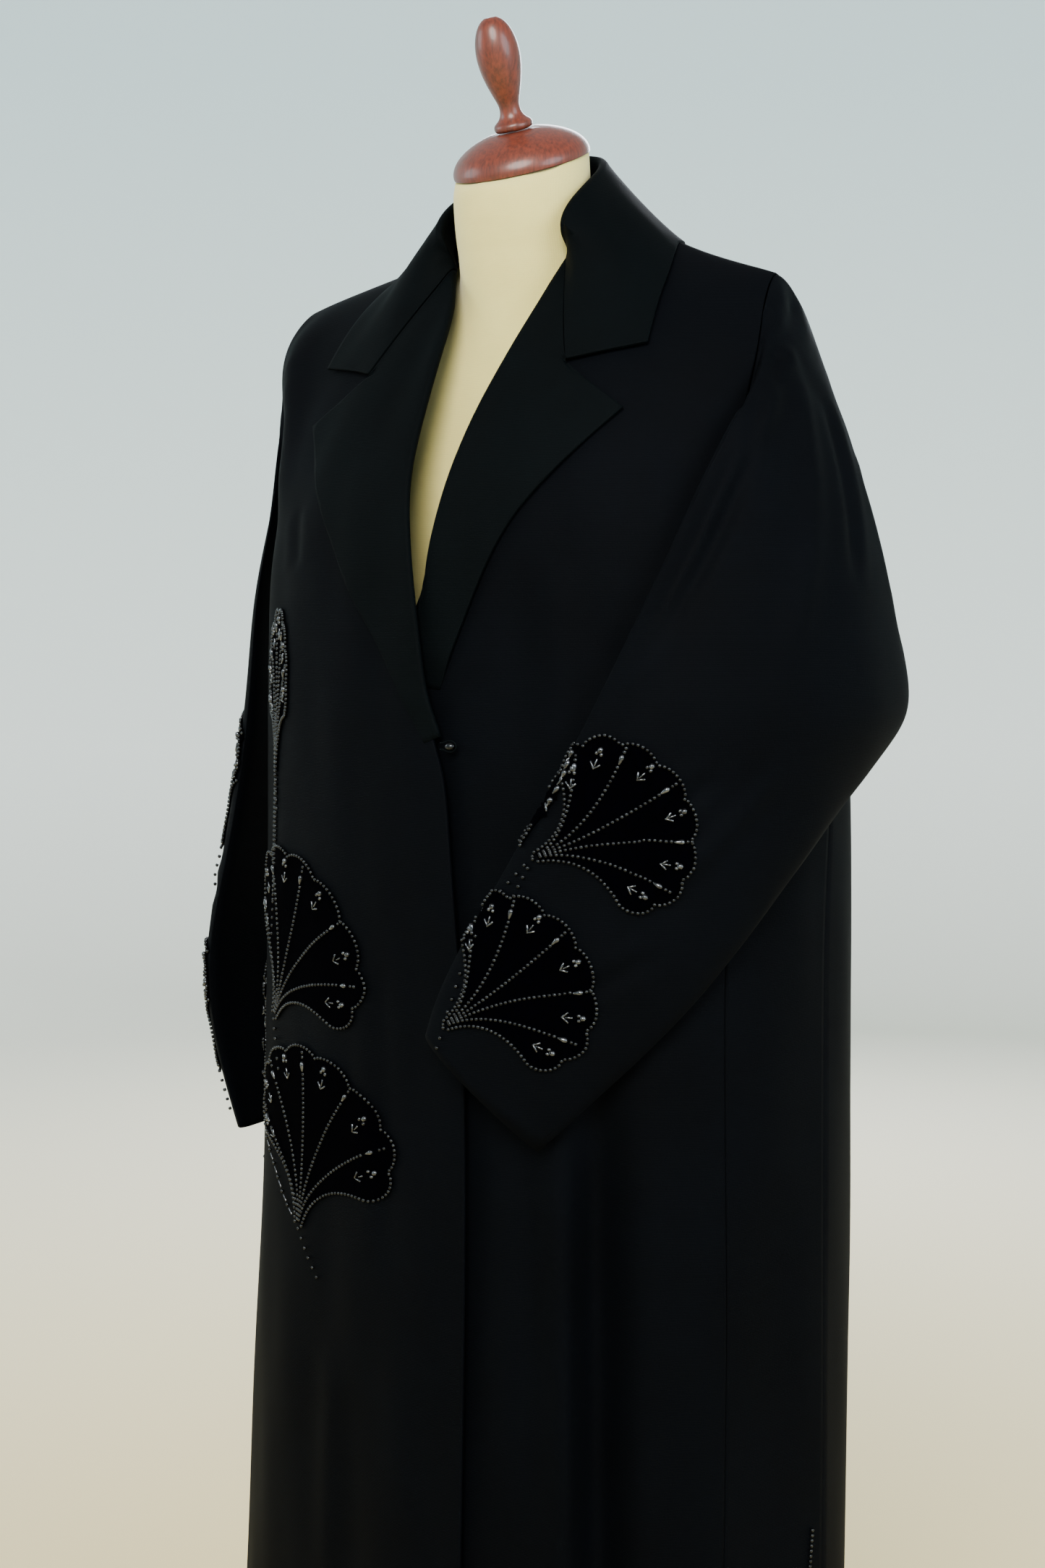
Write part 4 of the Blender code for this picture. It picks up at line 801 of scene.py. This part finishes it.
def vein(turn, reach):
    """A vein of the leaf: up the stalk beside the others, then out to the rim."""
    end = fan_point(turn, reach)
    start = np.array([0.0016 * turn / 84.0, 0.004])
    bend = np.array([end[0] * 0.10, 0.50 * end[1]])
    return np.array(bent(start, bend, end, np.linspace(0, 1, 30)))


class LeafPlace:
    """Lays the leaf's own plane on the sheet that carries it."""

    def __init__(self, carrier, angle, height, turn, tilt, lean, length, wide):
        self.tree = SURFACES[carrier]
        self.scale = length / LEAF_DRAWN
        self.wide = wide
        turn, tilt, lean = math.radians(turn), math.radians(tilt), math.radians(lean)
        flat = math.cos(tilt)
        self.facing = np.array([math.sin(turn) * flat, -math.cos(turn) * flat, math.sin(tilt)])
        level = np.array([math.cos(turn), math.sin(turn), 0.0])
        upright = unit(np.array([0, 0, 1.0]) - self.facing * self.facing[2])
        self.heading = math.sin(lean) * level + math.cos(lean) * upright
        self.beside = np.cross(self.heading, self.facing)
        self.foot, _ = found_from_outside(self.tree, angle, height)

    def at(self, flat, lift):
        """The place and normal on the sheet over a place of the leaf's plane."""
        x, y = flat * self.scale
        over = self.foot + self.wide * x * self.beside + y * self.heading
        above = Vector(over + LEAF_REACH * self.facing)
        place, normal, _, _ = self.tree.ray_cast(above, Vector(-self.facing), 2 * LEAF_REACH)
        if place is None:
            place, normal, _, _ = self.tree.find_nearest(Vector(over))
        normal = np.array(normal)
        if normal @ self.facing < 0:
            normal = -normal
        return np.array(place) + lift * normal, normal


def velvet_leaf(name, node, where):
    """The velvet shape, a thin closed pad that follows the cloth under it."""
    rim = leaf_rim()
    centre = np.array([0.0, LEAF_CENTRE])
    rows = [(1.0, VELVET_EDGE), (VELVET_RIM_SHARE, VELVET_RIM)]
    rows += [(share, VELVET_FACE) for share in VELVET_SHARES]
    count = len(rim)
    points, faces = [], []
    for share, lift in rows:
        for place in rim:
            points.append(where.at(centre + (place - centre) * share, lift)[0])
    points.append(where.at(centre, VELVET_FACE)[0])
    under = len(points)
    for place in rim:
        points.append(where.at(centre + (place - centre) * VELVET_RIM_SHARE, VELVET_UNDER)[0])
    points.append(where.at(centre, VELVET_UNDER)[0])
    for index in range(count):
        after = (index + 1) % count
        for row in range(len(rows) - 1):
            low, high = row * count, (row + 1) * count
            faces.append((low + index, low + after, high + after, high + index))
        last = (len(rows) - 1) * count
        faces.append((last + index, last + after, under - 1))
        faces.append((under + index, under + after, after, index))
        faces.append((under + after, under + index, under + count))
    mesh = bpy.data.meshes.new(name)
    mesh.from_pydata([tuple(map(float, point)) for point in points], [], faces)
    work = bmesh.new()
    work.from_mesh(mesh)
    bmesh.ops.recalc_face_normals(work, faces=work.faces)
    work.to_mesh(mesh)
    work.free()
    made = placed(name, mesh, "cotton_velvet")
    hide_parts(node)
    return made


def beaded_line(parts, where, line, step, lift=VEIN_LIFT):
    """Seed beads along a line of the leaf's plane, each a little larger or smaller than the next."""
    flats = spaced(line, step / where.scale)
    spots = [where.at(flat, lift) for flat in flats]
    places = np.array([place for place, _ in spots])
    ways = np.gradient(places, axis=0)
    made = []
    for place, way, (_, normal) in zip(places, ways, spots):
        if normal @ where.facing > 0.3:
            made.append(set_down(parts["seed"], place, way, normal, 0.94 + 0.12 * random.random()))
    return made


def laid(parts, where, kind, start, end, lift, size=1.0):
    """A part laid from one place of the leaf's plane towards another."""
    first, normal = where.at(start, lift)
    second, _ = where.at(end, lift)
    return set_down(parts[kind], (first + second) / 2, second - first, normal, size)


def leaf_beads(name, where, parts, bowed):
    """The leaf's beadwork: seeds round the rim, along the veins and in the tail, and cut glass between."""
    step = bpy.context.scene.abaya_beads.step
    seeds = beaded_line(parts, where, leaf_rim(), step, RIM_LIFT)
    bright = []
    for turn, reach in LEAF_VEINS:
        line = vein(turn, reach)
        way = unit(line[-1] - line[-3])
        stops = [index for index in range(len(line)) if np.linalg.norm(line[index] - line[-1]) > 0.015]
        seeds += beaded_line(parts, where, line[stops], step * 1.05)
        drop = (line[-1] - way * 0.0125, line[-1] - way * 0.0045)
        bright.append(laid(parts, where, "drop", *drop, STONE_LIFT, 0.85))
        tip = np.array([line[-1] - way * 0.0005, line[-1] + way * 0.0035])
        seeds += beaded_line(parts, where, tip, step)
    for turn, share in LEAF_SPRIGS:
        heart = fan_point(turn, share)
        way = unit(heart - np.array([0.0, LEAF_CENTRE * 0.4]))
        side = np.array([way[1], -way[0]])
        for along, across, size in SPRIG_STONES:
            place = heart + way * along + side * across
            bright.append(laid(parts, where, "crystal", place, place + way * 0.002, STONE_LIFT, size))
        for sign in (-1, 1):
            tip = heart - way * 0.0135
            arm = tip + way * 0.0052 + side * sign * 0.0042
            bright.append(laid(parts, where, "bugle", tip, arm, ARM_LIFT, 0.80))
        stem = (heart - way * 0.0125, heart - way * 0.0025)
        bright.append(laid(parts, where, "bugle", *stem, STEM_LIFT, 0.70))
    seeds += beaded_line(parts, where, rounded(TAIL, 8), 0.0085)
    if bowed:
        start = leaf_rim()[14] + (-0.005, -0.002)
        flats = spaced(rounded((start, *BOW), 8), 0.0118 / where.scale)
        for start, end in zip(flats[:-1], flats[1:]):
            bead = (start - (end - start) * 0.1, start + (end - start) * 0.1)
            seeds.append(laid(parts, where, "seed", *bead, BOW_LIFT))
            bright.append(laid(parts, where, "bugle", start, end, BOW_LIFT, 0.85))
    made = [
        joined(f"{name}_seed_beads", seeds, "gunmetal_glass"),
        joined(f"{name}_cut_glass", bright, "cut_glass"),
    ]
    return made


# Operators


class ABAYA_OT_stage(bpy.types.Operator):
    """Floor, backdrop, lights and camera"""

    bl_idname = "abaya.stage"
    bl_label = "Studio"

    def execute(self, context):
        settings = context.scene.abaya_stage
        self.bowl(settings)
        self.lights(context, settings)
        self.camera(context)
        return {"FINISHED"}

    def bowl(self, settings):
        """A round floor that sweeps up into a round backdrop, so that every view has the same ground."""
        flat = settings.reach - SWEEP_RADIUS
        profile = [(0.0, -0.001), (flat * 0.5, -0.001), (flat, -0.001)]
        for turn in np.radians(np.linspace(9, 90, 10)):
            profile.append((flat + SWEEP_RADIUS * math.sin(turn), SWEEP_RADIUS * (1 - math.cos(turn))))
        profile.append((settings.reach, WALL_HEIGHT))
        sides = 96
        points, faces = [], []
        for radius, height in profile:
            for index in range(sides):
                turn = 2 * math.pi * index / sides
                points.append((radius * math.sin(turn), radius * math.cos(turn), height))
        for row in range(len(profile) - 1):
            for index in range(sides):
                after = (index + 1) % sides
                low, high = row * sides, (row + 1) * sides
                faces.append((low + index, high + index, high + after, low + after))
        mesh = bpy.data.meshes.new("studio_sweep")
        mesh.from_pydata(points, [], faces)
        middle = [(a + b) / 2 for a, b in zip(settings.floor_colour, settings.wall_colour)]
        stops = (
            (0.08, settings.floor_colour),
            (0.38, middle),
            (0.68, settings.wall_colour),
            # Painted shade: the top of the wall is darker and bluer, as the light falls off.
            (0.95, settings.high_wall_shade_colour),
        )
        mesh.materials.append(graded_paint("paper_sweep", stops, settings.reach + 3.4))
        mesh.shade_smooth()
        made = bpy.data.objects.new("studio_sweep", mesh)
        bpy.context.scene.collection.objects.link(made)

    def lights(self, context, settings):
        """Large soft lights: a key and a fill near the camera, one from behind and one from the far side."""
        aim = Vector((0.0, 0.0, 1.05))
        # name, turn round the upright axis in degrees, distance, height, width, power, colour
        table = (
            ("key_light", 22.0, 2.9, 2.75, 1.9, settings.key_power, "fffaf2"),
            ("fill_light", 80.0, 3.2, 2.1, 2.2, settings.fill_power, "eef4ff"),
            ("back_light", 205.0, 3.2, 2.4, 1.8, 150.0, "f4f7ff"),
            ("side_light", 300.0, 3.2, 2.2, 1.8, 40.0, "f6f9ff"),
        )
        for name, turn, far, height, width, power, colour in table:
            lamp = bpy.data.lights.new(name, "AREA")
            lamp.shape = "DISK"
            lamp.size = width
            lamp.energy = power
            lamp.color = linear(colour)
            made = bpy.data.objects.new(name, lamp)
            context.scene.collection.objects.link(made)
            angle = math.radians(turn)
            made.location = (far * math.sin(angle), -far * math.cos(angle), height)
            made.rotation_euler = (aim - made.location).to_track_quat("-Z", "Y").to_euler()
            made.visible_camera = False
        sky = bpy.data.worlds.new("soft_studio_light")
        context.scene.world = sky
        sky.use_nodes = True
        ground = sky.node_tree.nodes["Background"]
        ground.inputs["Color"].default_value = (*linear("f2f5f7"), 1.0)
        ground.inputs["Strength"].default_value = SURROUND

    def camera(self, context):
        """The photograph's camera: a level turn, a slight pitch down and a small sideways shift."""
        lens = bpy.data.cameras.new("photo_camera")
        lens.lens = CAMERA_LENS
        lens.sensor_width = CAMERA_SENSOR
        lens.shift_x = -(AXIS_COLUMN - MIDDLE_COLUMN) / PHOTO_HEIGHT
        lens.clip_start = 0.05
        lens.clip_end = 60.0
        made = bpy.data.objects.new("photo_camera", lens)
        context.scene.collection.objects.link(made)
        turn = math.radians(CAMERA_TURN)
        made.location = (CAMERA_DISTANCE * math.sin(turn), -CAMERA_DISTANCE * math.cos(turn), CAMERA_HEIGHT)
        made.rotation_euler = (math.radians(90.0 - CAMERA_PITCH), 0.0, turn)
        context.scene.camera = made


class ABAYA_OT_form(bpy.types.Operator):
    """Dress form: jersey cover, cap, finial, board, pole and base"""

    bl_idname = "abaya.form"
    bl_label = "Dress form"

    def execute(self, context):
        # piece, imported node, finish, slot, rounds of smoothing, angle above which an edge stays sharp
        table = (
            ("form_cover", "form_torso", "ribbed_jersey", "jersey", 3, 70.0),
            ("wooden_cap", "neck_cap", "turned_mahogany", "mahogany", 3, 50.0),
            ("wooden_finial", "finial", "turned_mahogany", "mahogany", 3, 75.0),
            ("form_board", "base_board", "turned_mahogany", "mahogany", 2, 50.0),
            ("form_pole", "stand_pole", "brushed_steel", "steel", 2, 50.0),
            ("form_foot", "stand_base", "turned_mahogany", "mahogany", 2, 75.0),
        )
        for name, node, finish, slot, rounds, keep in table:
            made = placed(name, refined(node, rounds, keep), finish)
            SURFACES[name] = tree_from(made.data)
            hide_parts(node)
        return {"FINISHED"}


class ABAYA_OT_body(bpy.types.Operator):
    """Fronts, side panels and back"""

    bl_idname = "abaya.body"
    bl_label = "Body of the cloak"

    def execute(self, context):
        for row in BODY_SHEETS:
            make_sheet(*row, rests_on=["form_cover"])
        return {"FINISHED"}


class ABAYA_OT_sleeves(bpy.types.Operator):
    """Both sleeves with their creases"""

    bl_idname = "abaya.sleeves"
    bl_label = "Sleeves"

    def execute(self, context):
        for row in SLEEVE_SHEETS:
            side = row[0].split("_")[0]
            make_sheet(*row, rests_on=[f"{side}_front_cloth"])
        return {"FINISHED"}


class ABAYA_OT_collar(bpy.types.Operator):
    """Collar and lapels"""

    bl_idname = "abaya.collar"
    bl_label = "Collar and lapels"

    def execute(self, context):
        for row in COLLAR_SHEETS:
            make_sheet(*row, rests_on=["right_front_cloth", "left_front_cloth", "back_cloth"])
        return {"FINISHED"}


class ABAYA_OT_leaves(bpy.types.Operator):
    """Velvet leaves with their beadwork"""

    bl_idname = "abaya.leaves"
    bl_label = "Leaves"

    def execute(self, context):
        random.seed(7)
        parts = bead_parts()
        for name, node, panel, *place in LEAVES:
            carrier = f"{panel}_cloth"
            where = LeafPlace(carrier, *place)
            leaf = velvet_leaf(f"velvet_{name}", f"leaf_{node}", where)
            beads = leaf_beads(f"velvet_{name}", where, parts, bowed=name in BOWED_LEAVES)
        return {"FINISHED"}


class ABAYA_OT_strands(bpy.types.Operator):
    """Beaded strands between the leaves"""

    bl_idname = "abaya.strands"
    bl_label = "Strands"

    def execute(self, context):
        random.seed(11)
        parts = bead_parts()
        made = []
        for carrier, step, places in STRANDS:
            tree = SURFACES[carrier]
            found = [found_from_outside(tree, angle, height) for angle, height in rounded(places, 12)]
            line = np.array([place + STRAND_LIFT * normal for place, normal in found])
            normals = np.array([normal for _, normal in found])
            spots = spaced(np.concatenate([line, normals * 1e-6], axis=1), step)
            ways = np.gradient(spots[:, :3], axis=0)
            for spot, way in zip(spots, ways):
                made.append(set_down(parts["seed"], spot[:3], way, spot[3:] * 1e6))
        piece = joined("strand_beads", made, "gunmetal_glass")
        return {"FINISHED"}


class ABAYA_OT_button(bpy.types.Operator):
    """Faceted button and its thread loop"""

    bl_idname = "abaya.button"
    bl_label = "Button and loop"

    def execute(self, context):
        for name, node, finish, slot, rounds in (
            ("faceted_button", "button", "gunmetal_glass", "bead", 2),
            ("thread_loop", "button_loop", "twisted_thread", "crepe", 2),
        ):
            made = placed(name, refined(node, rounds), finish)
            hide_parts(node)
        return {"FINISHED"}


class ABAYA_PT_panel(bpy.types.Panel):
    """Lists the steps of the cloak in the sidebar"""

    bl_label = "Abaya"
    bl_idname = "ABAYA_PT_panel"
    bl_space_type = "VIEW_3D"
    bl_region_type = "UI"
    bl_category = "Abaya"

    def draw(self, context):
        for step in STEPS:
            self.layout.operator(step.bl_idname)
        for group in ("abaya_cloth", "abaya_beads", "abaya_form", "abaya_stage"):
            settings = getattr(context.scene, group)
            for name in type(settings).__annotations__:
                self.layout.prop(settings, name)


GROUPS = {
    "abaya_cloth": AbayaClothSettings,
    "abaya_beads": AbayaBeadSettings,
    "abaya_form": AbayaFormSettings,
    "abaya_stage": AbayaStageSettings,
}
STEPS = (
    ABAYA_OT_stage,
    ABAYA_OT_form,
    ABAYA_OT_body,
    ABAYA_OT_sleeves,
    ABAYA_OT_collar,
    ABAYA_OT_leaves,
    ABAYA_OT_strands,
    ABAYA_OT_button,
)


def register():
    for kind in (*GROUPS.values(), *STEPS, ABAYA_PT_panel):
        bpy.utils.register_class(kind)
    for name, kind in GROUPS.items():
        setattr(bpy.types.Scene, name, bpy.props.PointerProperty(type=kind))


def unregister():
    for name in GROUPS:
        delattr(bpy.types.Scene, name)
    for kind in reversed((*GROUPS.values(), *STEPS, ABAYA_PT_panel)):
        bpy.utils.unregister_class(kind)


def main():
    register()
    bpy.ops.abaya.stage()
    bpy.ops.abaya.form()
    bpy.ops.abaya.body()
    bpy.ops.abaya.sleeves()
    bpy.ops.abaya.collar()
    bpy.ops.abaya.leaves()
    bpy.ops.abaya.strands()
    bpy.ops.abaya.button()


if __name__ == "__main__":
    main()
